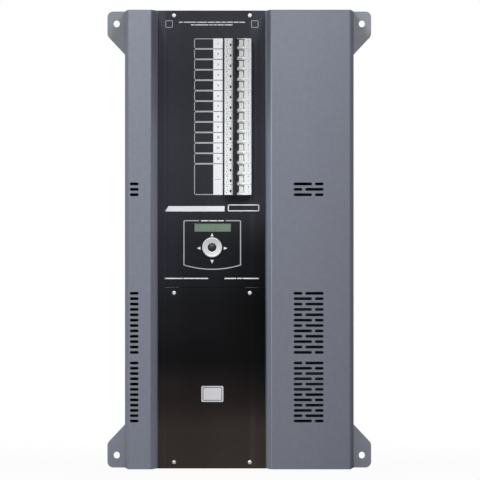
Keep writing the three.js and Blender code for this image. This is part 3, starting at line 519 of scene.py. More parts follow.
def tint(tree, paint, value, darkest, lightest):
    """Sets a base colour that a pattern varies a little."""
    ends = {"A": scaled(paint, darkest), "B": scaled(paint, lightest), "Factor": value}
    mix = add(tree, "Mix", ends, data_type="RGBA")
    connect(tree, shader_of(tree), {"Base Color": mix.outputs["Result"]})


def raise_bumps(tree, value, strength, distance):
    """Bumps from a pattern, added to those already there."""
    shader = shader_of(tree)
    inputs = {"Strength": strength, "Distance": distance, "Height": value}
    before = shader.inputs["Normal"].links
    if before:
        inputs["Normal"] = before[0].from_socket
    connect(tree, shader, {"Normal": add(tree, "Bump", inputs).outputs["Normal"]})


def shares_along(tree, axis, node, shares):
    """Shares that are spread over the width or height of a node."""
    parts = add(tree, "SeparateXYZ", {"Vector": add(tree, "TexCoord").outputs["Object"]})
    start, end = [getattr(corner, axis.lower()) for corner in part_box(node)]
    inputs = {"From Min": start, "From Max": end, "Value": parts.outputs[axis]}
    rise = add(tree, "MapRange", inputs)
    ramp = add(tree, "ValToRGB", {"Fac": rise.outputs["Result"]})
    ramp.color_ramp.interpolation = "EASE"
    for _ in shares[2:]:
        ramp.color_ramp.elements.new(0.5)
    for stop, (height, share) in zip(ramp.color_ramp.elements, shares):
        stop.position = height
        stop.color = (*share, 1)
    return ramp.outputs["Color"]


def shade(tree, shares, mask=None):
    """Paints light or shade into the base colour: multiplies it by shares, where there is a mask only inside
    it.
    """
    paint = shader_of(tree).inputs["Base Color"]
    inputs = {
        "Factor": shares_along(tree, *mask) if mask else 1,
        "A": paint.links[0].from_socket,
        "B": shares_along(tree, *shares),
    }
    layer = add(tree, "Mix", inputs, data_type="RGBA", blend_type="MULTIPLY")
    tree.links.new(layer.outputs["Result"], paint)


# Light that falls on the pack, as layers of shares of its paint, each with its mask if it has one

def greys(*stops):
    """Grey shares at stops from 0 to 1."""
    return [(stop, (level, level, level)) for stop, level in stops]


def by_height(shares):
    """Shares over the height of the wall plate."""
    return ("Z", "back_plate", shares)


def across(node, shares):
    """Shares over the width of a node."""
    return ("X", node, shares)


# Painted light and shade on the covers, as shares of their paint by height: painted light and shade on the
# outer sides and inner walls, painted shade on the feet in the recess, and a painted highlight along the
# wide cover's bend.
COVER_PAINTED_LIGHT = {
    LEFT: {
        "side": greys((0.06, 1.26), (0.6, 1.26), (0.94, 1.17)),
        "wall": greys((0.06, 1.55), (0.5, 1.5), (0.706, 1.38), (0.825, 0.93), (0.945, 0.67)),
        "foot": greys((0.03, 1.0), (0.18, 0.72), (0.7, 0.76), (0.9, 0.6)),
    },
    RIGHT: {
        "foot": greys((0.06, 0.7), (0.25, 0.38), (0.5, 0.72), (0.9, 1.05)),
        "wall": greys((0.06, 1.7), (0.564, 1.72), (0.706, 1.45), (0.825, 1.0), (0.945, 0.75)),
        "bend": greys((0.06, 1.25), (0.3, 1.4), (0.7, 1.65), (0.85, 1.3), (0.97, 0.98)),
        "side": greys((0.06, 0.88), (0.5, 1.06), (0.94, 1.12)),
    },
}
# Painted shade: the wide cover's paint is darker than the narrow cover's, standing for the weaker light on
# the right.
WIDE_COVER_PAINTED_SHADE = 0.9
# Painted shade across the wide cover, darker towards its right side.
WIDE_COVER_SHADE_ACROSS = greys((0.2, 1), (0.43, 0.99), (0.8, 0.93), (0.95, 0.91))
# Painted reflection on the black panels by height: the lighter and darker bands of the satin panel's
# reflected light.
PANEL_PAINTED_REFLECTION = (
    (0.0, (1.9, 1.4, 1.1)),
    (0.07, (1.72, 1.23, 0.96)),
    (0.165, (0.75, 0.53, 0.45)),
    (0.243, (0.2, 0.19, 0.19)),
    (0.335, (0.38, 0.36, 0.36)),
    (0.462, (0.75, 0.75, 0.8)),
    (0.6, (1.35, 1.35, 1.4)),
    (0.7, (1.45, 1.45, 1.5)),
    (0.85, (1.15, 1.15, 1.2)),
    (1.0, (1.38, 1.38, 1.42)),
)
# Painted light at the panel's left and right sides, lifting the shade that the covers' walls cast there.
PANEL_SIDES_PAINTED_LIGHT = greys((0, 1.8), (0.06, 1.65), (0.085, 1.12), (0.3, 1), (0.84, 1), (0.88, 1.35), (1, 1.5))
# Painted light across the lower middle of the panel, brighter at its left and shaded at its right, only
# inside a band of height.
PANEL_LOW_PAINTED_LIGHT = greys((0, 1.3), (0.4, 0.85), (1, 0.15))
PANEL_LOW_PAINTED_ZONE = greys((0.1, 0), (0.2, 0.6), (0.335, 1), (0.45, 0.8), (0.58, 0))
PANEL_LIGHT = (
    [by_height(PANEL_PAINTED_REFLECTION)],
    [across("upper_panel", PANEL_SIDES_PAINTED_LIGHT)],
    [across("upper_panel", PANEL_LOW_PAINTED_LIGHT), by_height(PANEL_LOW_PAINTED_ZONE)],
)
# Painted light on the wall plate: brighter and bluer towards the bottom, duller at the top, and brighter at
# its right end.
PLATE_LIGHT = (
    [by_height([(0.0, (1.3, 1.29, 1.4)), (0.45, (1.1, 1.1, 1.14)), (1.0, (0.9, 0.9, 0.9))])],
    [across("back_plate", greys((0.8, 1), (1, 1.2)))],
)
# Painted light on the white and grey ink by height: brightest just below the middle, duller towards the top.
INK_PAINTED_LIGHT_SHARES = greys(
    (0.3, 1), (0.42, 1.17), (0.56, 1.14), (0.63, 1.1), (0.72, 1.07), (0.82, 1), (0.92, 0.88), (0.97, 0.75)
)
INK_LIGHT = ([by_height(INK_PAINTED_LIGHT_SHARES)],)
# Painted light on the breaker modules and toggle drums by height: the lower modules lighter, the upper ones
# darker.
MODULE_PAINTED_LIGHT = greys((0.61, 1.24), (0.69, 1.13), (0.78, 0.98), (0.85, 0.86), (0.92, 0.75))
TOGGLE_LIGHT = ([by_height(MODULE_PAINTED_LIGHT)],)
# Painted shade on the breaker case in the column of the toggles' pockets and the ledges between them.
CASE_PAINTED_SHADE = greys((0.385, 1), (0.4, 0.74), (0.585, 0.74), (0.61, 1))
CASE_LIGHT = ([across("channel_breaker_1", CASE_PAINTED_SHADE)], *TOGGLE_LIGHT)


def cover_light(side):
    """Light on a cover by height, in bands across it: its outer side, inner wall, bend and foot."""
    node = COVERS[side]
    start, end = low(node).x, high(node).x
    wall, edge, corner, foot = [place[0] for place in cover_path(side)[1:5]]
    soft, before_bend, after_bend = mm(0.4, 1, 1.9)
    if side == LEFT:
        bands = {"side": (wall, edge), "wall": (corner + soft, foot), "foot": (foot, end)}
    else:
        bands = {
            "foot": (start, foot),
            "wall": (foot, corner - before_bend),
            "bend": (corner - before_bend, corner + after_bend),
            "side": (edge, wall),
        }
    light = []
    for zone, (first, last) in bands.items():
        stops = ((first - soft, 0), (first + soft, 1), (last - soft, 1), (last + soft, 0))
        mask = greys(*[((x - start) / (end - start), level) for x, level in stops])
        light.append([("Z", node, COVER_PAINTED_LIGHT[side][zone]), across(node, mask)])
    if side == RIGHT:
        light.append([across(node, WIDE_COVER_SHADE_ACROSS)])
    return light


# Materials

def made_once(recipe):
    """Turns a recipe for a material's nodes into a function that makes each name only once."""

    def material_named(name, *details, **options):
        """The material of that name, made where there is none yet."""
        material = bpy.data.materials.get(name)
        if material is None:
            material = bpy.data.materials.new(name)
            material.use_nodes = True
            recipe(material.node_tree, *details, **options)
        return material

    return material_named


@made_once
def coat(tree, paint, mottling, gloss, grain=(), stretch=(1, 1, 1), even=None, light=()):
    """A finish with mottled colour, patchy gloss, grain, even values and light painted over it.

    Mottling and gloss are each a noise's scale, its detail, the least and the most. Grain holds
    scale, detail, strength and millimetres. Even values are the same all over the surface.
    """
    scale, detail, darkest, lightest = mottling
    tint(tree, paint, spread(tree, noise(tree, scale, detail)), darkest, lightest)
    scale, detail, smooth, rough = gloss
    roughness = spread(tree, noise(tree, scale, detail, stretch), smooth, rough)
    connect(tree, shader_of(tree), {"Roughness": roughness, **(even or {})})
    for scale, detail, strength, height in grain:
        raise_bumps(tree, noise(tree, scale, detail, stretch), strength, height * MM)
    for layer in light:
        shade(tree, *layer)


def powder_coat(name, paint, light=(), gloss=(0.4, 0.54), specular=0.0, sheen=0.12, grain=1.0):
    """Sprayed and baked powder coat: fine orange peel, soft mottling and a satin sheen."""
    peel = ((1500, 3, 0.22 * grain, 0.06), (380, 2, 0.12 * grain, 0.1))
    even = {"Metallic": sheen, "Specular IOR Level": specular}
    return coat(name, paint, (120, 5, 0.965, 1.035), (14, 4, *gloss), peel, even=even, light=light)


def moulded(name, paint, roughness=0.42, grain=0.12, specular=0.5, light=()):
    """Injection-moulded plastic with a fine spark-eroded grain."""
    gloss = (60, 3, roughness - 0.06, roughness + 0.06)
    fine = [(2600, 2, grain, 0.04)]
    even = {"Specular IOR Level": specular}
    return coat(name, paint, (160, 4, 0.965, 1.03), gloss, fine, even=even, light=light)


def plated(name, paint, roughness=0.32, stretch=(1, 1, 1), metal=1.0):
    """Plated or rolled metal with drawn streaks."""
    gloss = (700, 4, roughness - 0.08, roughness + 0.1)
    streaks = [(700, 4, 0.08, 0.03)]
    return coat(name, paint, (40, 4, 0.9, 1.06), gloss, streaks, stretch, {"Metallic": metal})


def screen_ink(name, paint, light=()):
    """Screen-printed ink with the mesh of the screen just showing."""
    mesh = [(2400, 1, 0.1, 0.02)]
    even = {"Specular IOR Level": 0.3}
    return coat(name, paint, (1200, 3, 0.94, 1.03), (200, 2, 0.42, 0.56), mesh, even=even, light=light)


def ink(kind):
    """The ink of one kind of print; white and grey are duller towards the top, as the light is."""
    paint = getattr(values("finish"), "ink_" + kind)
    return screen_ink(kind + "_ink", paint, INK_LIGHT if kind in ("white", "grey") else ())


def clear_plastic(name):
    """Thin clear acrylic."""
    faint_green = (0.85, 0.95, 0.86)
    return coat(name, faint_green, (50, 2, 0.93, 1.05), (30, 3, 0.08, 0.16), even={"Alpha": 0.06})


@made_once
def display_glow(tree, paint, middle_place):
    """A reflective liquid crystal: two lines of faint character cells of fine dots."""
    place = add(tree, "SeparateXYZ", {"Vector": add(tree, "TexCoord").outputs["Object"]}).outputs
    flat = add(tree, "CombineXYZ", {"X": place["X"], "Y": place["Z"]}).outputs["Vector"]
    start = (-middle_place.x, -middle_place.z, 0)
    inputs = {
        "Vector": add(tree, "Mapping", {"Location": start, "Vector": flat}).outputs["Vector"],
        "Scale": 1,
        "Brick Width": 3.55 * MM,
        "Row Height": 5.95 * MM,
        "Mortar Size": 0.3 * MM,
        "Mortar Smooth": 0.2,
        "Color1": scaled(paint, 0.93),
        "Color2": scaled(paint, 0.97),
        "Mortar": scaled(paint, 1.06),
    }
    cells = add(tree, "TexBrick", inputs, offset=0).outputs["Color"]
    haze = {"A": cells, "B": scaled(paint, 1.25), "Factor": spread(tree, noise(tree, 38, 2), 0, 0.5)}
    cloud = add(tree, "Mix", haze, data_type="RGBA").outputs["Result"]
    connect(tree, shader_of(tree), {"Base Color": cloud, "Roughness": 0.5})


@made_once
def striped(tree, paint, dark, pitch, roughness, metal=0.0):
    """Windings or laminations: fine even stripes across Z."""
    inputs = {"Scale": 1 / pitch, "Distortion": 1.5, "Vector": object_place(tree)}
    bands = add(tree, "TexWave", inputs, bands_direction="Z").outputs["Fac"]
    tint(tree, paint, bands, dark, 1.05)
    gloss = spread(tree, noise(tree, 80, 3), roughness - 0.08, roughness + 0.08)
    connect(tree, shader_of(tree), {"Roughness": gloss, "Metallic": metal})
    raise_bumps(tree, bands, 0.5, 0.3 * MM)


# Wall plate and covers

WELD_ROWS = 9
WELD_START, WELD_STEP = -0.92, 0.23
WELD_RADIUS, WELD_DEPTH = mm(2.6, 0.3)


def wall_plate():
    """The back plate: its four ears are drawn out of its sides, rounded and pierced."""
    sizes = values("cabinet")
    start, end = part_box("back_plate")
    half, top = sizes.base_half, end.z
    root, tip = top - sizes.ear_root, top - sizes.ear_tip
    plate = block("wall_plate", (-half, start.y, -top), (half, end.y, top))
    for side in (LEFT, RIGHT):
        cut_across(plate, (0, 0, side * root), (0, 0, 1))
    half_out = (end.x + half) / 2
    below_top = top - sizes.edge
    for side, upright in CORNERS:
        pick(plate, "FACE", lambda face: face.normal.x * side > 0.9 and middle(face).z * upright > root)
        draw_out = {"value": (side * (end.x - half), 0, 0)}
        bpy.ops.mesh.extrude_region_move(TRANSFORM_OT_translate=draw_out)
        pick(plate, "VERT", lambda vert: vert.co.x * side > half_out and 0 < vert.co.z * upright < below_top)
        move_picked(z=upright * (sizes.ear_root - sizes.ear_tip))
    reach, turn_z = end.x - sizes.edge, tip + sizes.edge
    round_edges(plate, 1, sizes.ear_corner, 8, lambda at: abs(at.x) > reach and abs(at.z) > turn_z)
    slant = math.atan2(end.x - half, sizes.ear_root - sizes.ear_tip) / 2
    easy = sizes.ear_corner * math.tan(slant)
    round_edges(plate, 1, easy, 5, lambda at: abs(at.x) > reach and abs(at.z) < turn_z)
    holes = []
    wide, tall = sizes.hole_width / 2, sizes.hole_height / 2
    through = 2 * (end.y - start.y)
    for side, upright in CORNERS:
        x = side * (end.x - sizes.hole_side)
        z = upright * (top - sizes.hole_end)
        holes.append(oblong("hole", (x - wide, -through, z - tall), (x + wide, through, z + tall)))
    carve(plate, *holes)
    welds = []
    for partition, row in product(("left_partition", "right_partition"), range(WELD_ROWS)):
        place = (centre(partition).x, end.y, WELD_START * top + row * WELD_STEP * top)
        welds.append(rod("weld", place, WELD_RADIUS, WELD_DEPTH, 16))
    carve(plate, *welds)
    soften(plate, sizes.edge)
    grey = powder_coat("plate_powder_coat", values("finish").plate, PLATE_LIGHT)
    finish_piece(plate, grey, "back_plate_paint", "back_plate")


def folded_sheet(name, path, top, sheet, bend):
    """A strip drawn out edge by edge along a path of (x, y) points, bent and given its thickness."""
    first, second = Vector((*path[0], 0)), Vector((*path[1], 0))
    deselect_all()
    bpy.ops.mesh.primitive_plane_add(size=1, location=(first + second) / 2, rotation=(QUARTER, 0, 0))
    bpy.context.object.scale = (abs(second.x - first.x), 2 * top, 1)
    piece = named(name)
    near = 0.01 * MM

    def pick_fold(fold):
        """Selects the upright edge at one point of the path."""
        pick(piece, "EDGE", lambda edge: runs(edge, 2) and (middle(edge).xy - fold).length < near)

    folds = [Vector(point) for point in path]
    for fold, following in zip(folds[1:], folds[2:]):
        pick_fold(fold)
        bpy.ops.mesh.extrude_edges_move(TRANSFORM_OT_translate={"value": (*(following - fold), 0)})
    for before, fold, after in zip(folds, folds[1:], folds[2:]):
        pick_fold(fold)
        turn = (fold - before).angle(after - fold)
        bpy.ops.mesh.bevel(offset=(bend + sheet) * math.tan(turn / 2), segments=6, affect="EDGES")
    pick(piece, "FACE", anywhere)
    bpy.ops.mesh.normals_make_consistent(inside=False)
    work_on(piece)
    front = max(piece.data.polygons, key=lambda face: -face.center.y)
    if front.normal.y > 0:
        pick(piece, "FACE", anywhere)
        bpy.ops.mesh.flip_normals()
    return apply_modifier(piece, "SOLIDIFY", thickness=sheet, offset=-1, use_even_offset=True)


def cover_path(side):
    """The folds of a cover, seen from above, from its wall flange to the foot behind the panel."""
    sizes = values("cabinet")
    node = COVERS[side]
    panel = low("upper_panel").x if side == LEFT else high("upper_panel").x
    foot_edge = high(node).x if side == LEFT else low(node).x
    run = sizes.left_run if side == LEFT else sizes.right_run
    rear, front = high(node).y, low(node).y
    foot_y = low("upper_panel").y + sizes.foot_depth
    foot = panel + side * sizes.foot_show
    base = side * sizes.base_half
    return [
        (base - side * sizes.flange, rear),
        (base, rear),
        (base - side * sizes.front_taper, front),
        (foot + side * run, front),
        (foot, foot_y),
        (foot_edge, foot_y),
    ]


def vent_rows():
    """Heights of the vent rows, each with True where a row starts with its long slot."""
    vents = values("vents")
    groups = [
        (vents.upper_row, vents.upper_pitch, 3, True),
        (vents.middle_row, vents.middle_pitch, 12, False),
        (vents.lower_row, vents.lower_pitch, 12, False),
    ]
    return [
        (first - row * pitch, (row % 2 == 0) == long_first)
        for first, pitch, count, long_first in groups
        for row in range(count)
    ]


def cover(side):
    """A folded cover with its vent slots."""
    sizes, vents = values("cabinet"), values("vents")
    node = COVERS[side]
    front = low(node).y
    through = 4 * MM
    half = vents.height / 2

    def vent(x, long, z):
        """A cutter for one vent slot."""
        return oblong("vent", (x, front - through, z - half), (x + long, front + through, z + half))

    kind = "narrow_cover" if side == LEFT else "wide_cover"
    piece = folded_sheet(kind, cover_path(side), high(node).z, sizes.cover_sheet, sizes.bend)
    corner = sizes.base_half - sizes.front_taper
    slots = []
    for z, long_first in vent_rows():
        if side == LEFT:
            slots.append(vent(-corner + vents.left_inset, vents.short, z))
            continue
        spans = (vents.long, vents.short) if long_first else (vents.short, vents.long)
        x = corner - vents.right_inset - vents.long - vents.space - vents.short
        slots.append(vent(x, spans[0], z))
        slots.append(vent(x + spans[0] + vents.space, spans[1], z))
    carve(piece, *slots)
    soften(piece, sizes.edge, limit=40)
    # The wide cover's paint takes its painted shade share here.
    share = 1 if side == LEFT else WIDE_COVER_PAINTED_SHADE
    paint = [level * share for level in values("finish").housing]
    blue_grey = powder_coat(kind + "_powder_coat", paint, cover_light(side))
    finish_piece(piece, blue_grey, "housing_paint", node)


# Panels, their print and their screws

def panels():
    """The upper panel with its window, display opening and ring hole, and the plain lower one."""
    sizes, modules = values("panels"), values("breakers")
    start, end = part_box("upper_panel")
    upper = block("upper_front_panel", start, end)
    through, window_corner, lens_corner, panel_corner = mm(3, 0.5, 0.8, 0.5)
    space = sizes.window_space
    window = rounded_plate(
        "window",
        (modules.nose_left - space, start.y - through, low("main_breaker").z - space),
        (modules.nose_right + space, end.y + through, high("channel_breaker_1").z + space),
        window_corner,
        3,
    )
    lens_low, lens_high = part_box("display_window")
    fit = Vector((sizes.fit, through, sizes.fit))
    opening = rounded_plate("opening", lens_low - fit, lens_high + fit, lens_corner, 3)
    ring = centre("nav_ring")
    reach = values("pad").ring + sizes.ring_space
    hole = rod("hole", (ring.x, start.y, ring.z), reach, 2 * through, 64)
    carve(upper, window, opening, hole)
    lower = rounded_plate("lower_front_panel", *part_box("lower_panel"), panel_corner, 2)
    satin = {"gloss": (0.36, 0.46), "specular": 0.07, "sheen": 0, "grain": 0.8}
    black = powder_coat("panel_powder_coat", values("finish").panel, PANEL_LIGHT, **satin)
    for piece, node in ((upper, "upper_panel"), (lower, "lower_panel")):
        soften(piece, sizes.edge)
        finish_piece(piece, black, "panel_paint", node)


def print_depths():
    """The front and rear of the printed ink, which starts just inside the panel."""
    surface = low("upper_panel").y
    height = values("panels").ink
    return surface - height, surface + height / 2


def printed(name, left, right, bottom, top, radius=0.0, segments=5, extra=0.0, test=anywhere):
    """A flat printed shape, or with extra depth a cutter for one."""
    front, rear = print_depths()
    start, end = (left, front - extra, bottom), (right, rear + extra, top)
    if radius:
        return rounded_plate(name, start, end, radius, segments, test)
    return block(name, start, end)


def finish_print(name, pieces, kind):
    """Joins printed shapes and gives them their ink."""
    finish_piece(joined(name, pieces), ink(kind), "panel_paint")


def printed_frame(name, left, right, bottom, top, line, radius):
    """A printed outline of a box."""
    piece = printed(name, left, right, bottom, top, radius)
    box = (left + line, right - line, bottom + line, top - line)
    return carve(piece, printed("inside", *box, max(radius - line, 0.3 * MM), 4, line))


def table_rows():
    """Bottom and top of each row of the channel table, the last one as high as the main breaker."""
    pitch = values("breakers").pitch
    top = high("channel_breaker_1").z
    rows = [(top - (n + 1) * pitch, top - n * pitch) for n in range(len(CHANNELS))]
    return rows + [(low("main_breaker").z, rows[-1][0])]


def channel_table():
    """Printed table beside the breakers: outlined rows and white labels."""
    sizes = values("panels")
    left, right = sizes.table_left, sizes.label_left
    line, gap = sizes.row_line / 2, sizes.label_gap / 2
    inner_corner, label_corner = mm(0.8, 0.3)
    rows, labels = [], []

    def at_left(place):
        """True at the left corners of a row."""
        return place.x < right - sizes.row_round

    for number, (bottom, top) in enumerate(table_rows()):
        row = printed("row", left, right, bottom, top, sizes.row_round, test=at_left)
        box = (left + line, right + line, bottom + line, top - line)
        rows.append(carve(row, printed("inside", *box, inner_corner, 3, line)))
        foot = 0 if number == len(CHANNELS) else gap
        head = gap if number else 0
        box = (right, sizes.label_right, bottom + foot, top - head)
        labels.append(printed("label", *box, label_corner))
    finish_print("table_rows", rows, "grey")
    finish_print("table_labels", labels, "white")


def channel_numbers():
    """Plain numbers on the channels' labels and three dashes on the main breaker's."""
    sizes = values("panels")
    front, _ = print_depths()
    thin = sizes.ink / 2
    middle_x = (sizes.label_left + sizes.label_right) / 2
    numbers = []
    rows = table_rows()
    for channel, (bottom, top) in zip(CHANNELS, rows):
        deselect_all()
        place = (middle_x, front - thin, (bottom + top) / 2)
        bpy.ops.object.text_add(location=place, rotation=(QUARTER, 0, 0))
        text = bpy.context.object.data
        text.body = str(channel)
        text.size = sizes.number_height
        text.align_x = "CENTER"
        text.align_y = "CENTER"
        text.extrude = thin
        text.offset = 0.18 * MM
        text.resolution_u = 4
        bpy.ops.object.convert(target="MESH")
        numbers.append(named("number"))
    dash_step, half_wide, half_tall = mm(3.6, 1.1, 0.5)
    half_dash = Vector((half_wide, thin, half_tall))
    for pole in POLES:
        place = Vector((middle_x + pole * dash_step, front, sum(rows[-1]) / 2))
        numbers.append(block("dash", place - half_dash, place + half_dash))
    finish_print("table_numbers", numbers, "number")


# Places of the blank prints and the pad's outline, in millimetres: left, right, bottom and top
BANNER = (-126.85, -25.15, 47.9, 57)
BANNER_SLANT = 6.1
FIELD = (-19.55, 34.05, 48.1, 59.8)
FIELD_LINE, FIELD_ROUND = 1.7, 1.8
SQUARES = ((-126.1, -113.5, 361.3, 373.9), (20.2, 32.8, 361.3, 373.9))
SQUARE_LINE, SQUARE_ROUND = 1.3, 1.8
PLATE, PLATE_ROUND = (-64.7, -27.2, -277.0, -250.0), 2.4
GROOVE, GROOVE_ROUND = (-62.5, -29.4, -274.8, -252.2), 1.3
ISLAND, ISLAND_ROUND = (-61.5, -30.4, -273.8, -253.2), 0.9
OUTLINE, OUTLINE_BOW = (-95.3, 2.95, -44.0, 33.0), 7.6
OUTLINE_GAP = (-68.65, -23.25, 25, 40)

# Broken lines, in millimetres: left, right, height, thickness and the shares of their bars
BAR_GAP, BAR_ROUND = 1.4, 0.4
BROKEN_LINES = (
    (-103.1, 9.9, 370.7, 1.6, (7, 22, 17, 12, 9, 8, 11, 8, 10)),
    (-82.5, -11.5, 366.2, 1.6, (5, 20, 5, 5, 9, 12)),
    (-127.1, -53.1, -66.4, 1.9, (30, 42)),
    (-25.1, 33.5, -66.4, 1.9, (19, 8, 27)),
    (-65.5, -26.4, 32.0, 1.8, (13, 14, 10)),
)


def broken_line(left, right, z, thick, parts):
    """A plain line broken into bars, placed in millimetres, with parts as the bars' shares."""
    unit = (right - left - BAR_GAP * (len(parts) - 1)) / sum(parts)
    bars = []
    for part in parts:
        box = mm(left, left + part * unit, z - thick / 2, z + thick / 2)
        bars.append(printed("bar", *box, BAR_ROUND * MM))
        left += part * unit + BAR_GAP
    return joined("line", bars)


def blank_fields():
    """Blank printed places: a banner with a slanted end, an outlined field, rules and a plate."""
    banner = printed("blank_banner", *mm(*BANNER))
    left, right, bottom, top = mm(*BANNER)
    middle_x, middle_z = (left + right) / 2, (bottom + top) / 2
    pick(banner, "VERT", lambda vert: vert.co.x < middle_x and vert.co.z > middle_z)
    move_picked(x=BANNER_SLANT * MM)
    finish_print("blank_banner", [banner], "white")
    field = printed_frame("field", *mm(*FIELD, FIELD_LINE, FIELD_ROUND))
    finish_print("blank_field", [field], "white")
    squares = [printed_frame("box", *mm(*square, SQUARE_LINE, SQUARE_ROUND)) for square in SQUARES]
    finish_print("blank_squares", squares, "grey")
    finish_print("blank_lines", [broken_line(*line) for line in BROKEN_LINES], "white")
    plate = printed("plate", *mm(*PLATE, PLATE_ROUND))
    groove = printed("groove", *mm(*GROOVE, GROOVE_ROUND), extra=1 * MM)
    island = printed("island", *mm(*ISLAND, ISLAND_ROUND), extra=2 * MM)
    carve(plate, carve(groove, island))
    finish_print("blank_plate", [plate], "white")


def pad_outline():
    """Printed line round the display and pad: rounded above, bowed below, with a gap at the top."""
    left, right, side_bottom, top, bow = mm(*OUTLINE, OUTLINE_BOW)
    middle_x = (left + right) / 2
    half = (right - left) / 2
    radius = (half * half + bow * bow) / (2 * bow)
    outer_corner, inner_corner, near = mm(3, 1.4, 0.05)
    steps = 24

    def bowed(name, inset, extra, corner):
        """The outline's shape, drawn in by an inset."""
        plate = printed(name, left + inset, right - inset, side_bottom, top - inset, extra=extra)
        round_edges(plate, 1, corner, 5, lambda place: place.z > 0)
        xs = [left + inset + (right - left - 2 * inset) * step / steps for step in range(steps + 1)]
        for x in xs[1:-1]:
            cut_across(plate, (x, 0, 0), (1, 0, 0))
        for x in xs:
            drop = math.sqrt(radius * radius - (x - middle_x) ** 2) - (radius - bow)
            pick(plate, "VERT", lambda vert: abs(vert.co.x - x) < near and vert.co.z < side_bottom + near)
            move_picked(z=-drop + inset)
        deselect_all()
        return plate

    outline = bowed("outline", 0, 0, outer_corner)
    carve(outline, bowed("inner", values("panels").frame_line, 1 * MM, inner_corner))
    carve(outline, printed("gap", *mm(*OUTLINE_GAP), extra=1 * MM))
    finish_print("pad_outline", [outline], "outline")


def pad_arrows():
    """Four printed arrowheads round the pad, pointing outwards: one is modelled, the rest copied."""
    pad = values("pad")
    front, rear = print_depths()
    hub = centre("nav_ring")
    arrow = rod("arrow", (0, (front + rear) / 2, 0), 1, rear - front, 3)
    side_of_triangle, height_of_triangle = math.sqrt(3), 1.5
    arrow.scale = (pad.arrow_width / side_of_triangle, 1, pad.arrow_length / height_of_triangle)
    settle(arrow).location = (0, 0, pad.arrow_gap)
    settle(arrow)
    arrows = []
    for quarter in range(4):
        twin = copy_of(arrow, "arrow", (0, 0, 0))
        twin.rotation_euler = (0, quarter * QUARTER, 0)
        settle(twin).location = (hub.x, 0, hub.z - pad.arrow_drop)
        arrows.append(settle(twin))
    bpy.data.objects.remove(arrow)
    finish_print("pad_arrows", arrows, "white")


# Outline of a screw head from its crown, as shares of its radius and height
SCREW_HEAD = (
    (0, 0), (0.35, 0.02), (0.68, 0.13), (0.9, 0.36), (0.985, 0.62), (1, 0.84), (0.97, 1), (0.5, 1)
)
RECESS_REACH, RECESS_WING, RECESS_DEPTH = mm(2.1, 0.42, 1.2)


def panel_screws():
    """Pan-head screws with a cross recess, one modelled and the rest copied."""
    nodes = [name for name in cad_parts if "_panel_screw_" in name]
    start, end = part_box(nodes[0])
    hub = centre(nodes[0])
    radius = (end.z - start.z) / 2
    face, tip = start.y, end.y - start.y
    rise = low("upper_panel").y - values("panels").fit - face
    profile = [(share * radius, depth * rise) for share, depth in SCREW_HEAD]
    profile += [(0.5 * radius, tip - 1.5 * MM), (0.3 * radius, tip), (0, tip)]
    screw = lathed("screw", profile, (hub.x, face, hub.z), steps=40)
    for half_x, half_z in ((RECESS_REACH, RECESS_WING), (RECESS_WING, RECESS_REACH)):
        wing_low = (hub.x - half_x, face - 1 * MM, hub.z - half_z)
        wing_high = (hub.x + half_x, face + RECESS_DEPTH, hub.z + half_z)
        carve(screw, block("wing", wing_low, wing_high))
    soften(screw, 0.12 * MM, limit=40)
    nickel = plated("bright_screw_steel", values("finish").screw, 0.3, metal=0.45)
    for name in nodes:
        piece = copy_of(screw, name.replace("panel_screw", "screw_head"), centre(name) - hub)
        finish_piece(piece, nickel, "screw_steel", name)
    bpy.data.objects.remove(screw)


# Breakers and toggles

# Grey ticks on a module's face, in millimetres: left, right, bottom and top
TICKS = (
    (-21.8, -19.8, 4.5, 6.3),
    (-21.2, -19.0, 0.4, 1.1),
    (-21.2, -19.6, -1.2, -0.6),
    (-22.4, -20.9, -5.6, -3.9),
    (14.8, 16.4, 4.4, 6.1),
    (14.9, 15.9, 0.0, 0.8),
    (14.9, 15.9, -4.1, -3.1),
)
# Openings in a module's face, in millimetres: left, right, depth, bottom and top
INDICATOR = (-16.5, -13.3, 0.9, -4.9, -0.1)
NOTCH = (6.6, 9.2, 1.2, 5, 7.3)
RIDGE_LEFT, RIDGE_RIGHT, RIDGE_DEPTH = mm(15.1, 15.7, 0.3)
PIN_X, PIN_DROP, PIN_RADIUS, PIN_LENGTH = mm(0.9, 7.6, 0.7, 4)
# The flag behind the indicator's opening: its lowest and highest corner, in millimetres
FLAG_LOW, FLAG_HIGH = (-16.4, 0.3, -4.8), (-13.4, 1.2, -0.2)
# Corners of the lever's two parts from the toggle's axis, in millimetres
BARREL_LEFT, BARREL_RIGHT, BARREL_FRONT, BARREL_REAR = mm(-2, 3.4, -11.6, -1)
GRIP_LOW, GRIP_HIGH = (-2.2, -15.9, -8.7), (3.0, -9.3, 8.7)


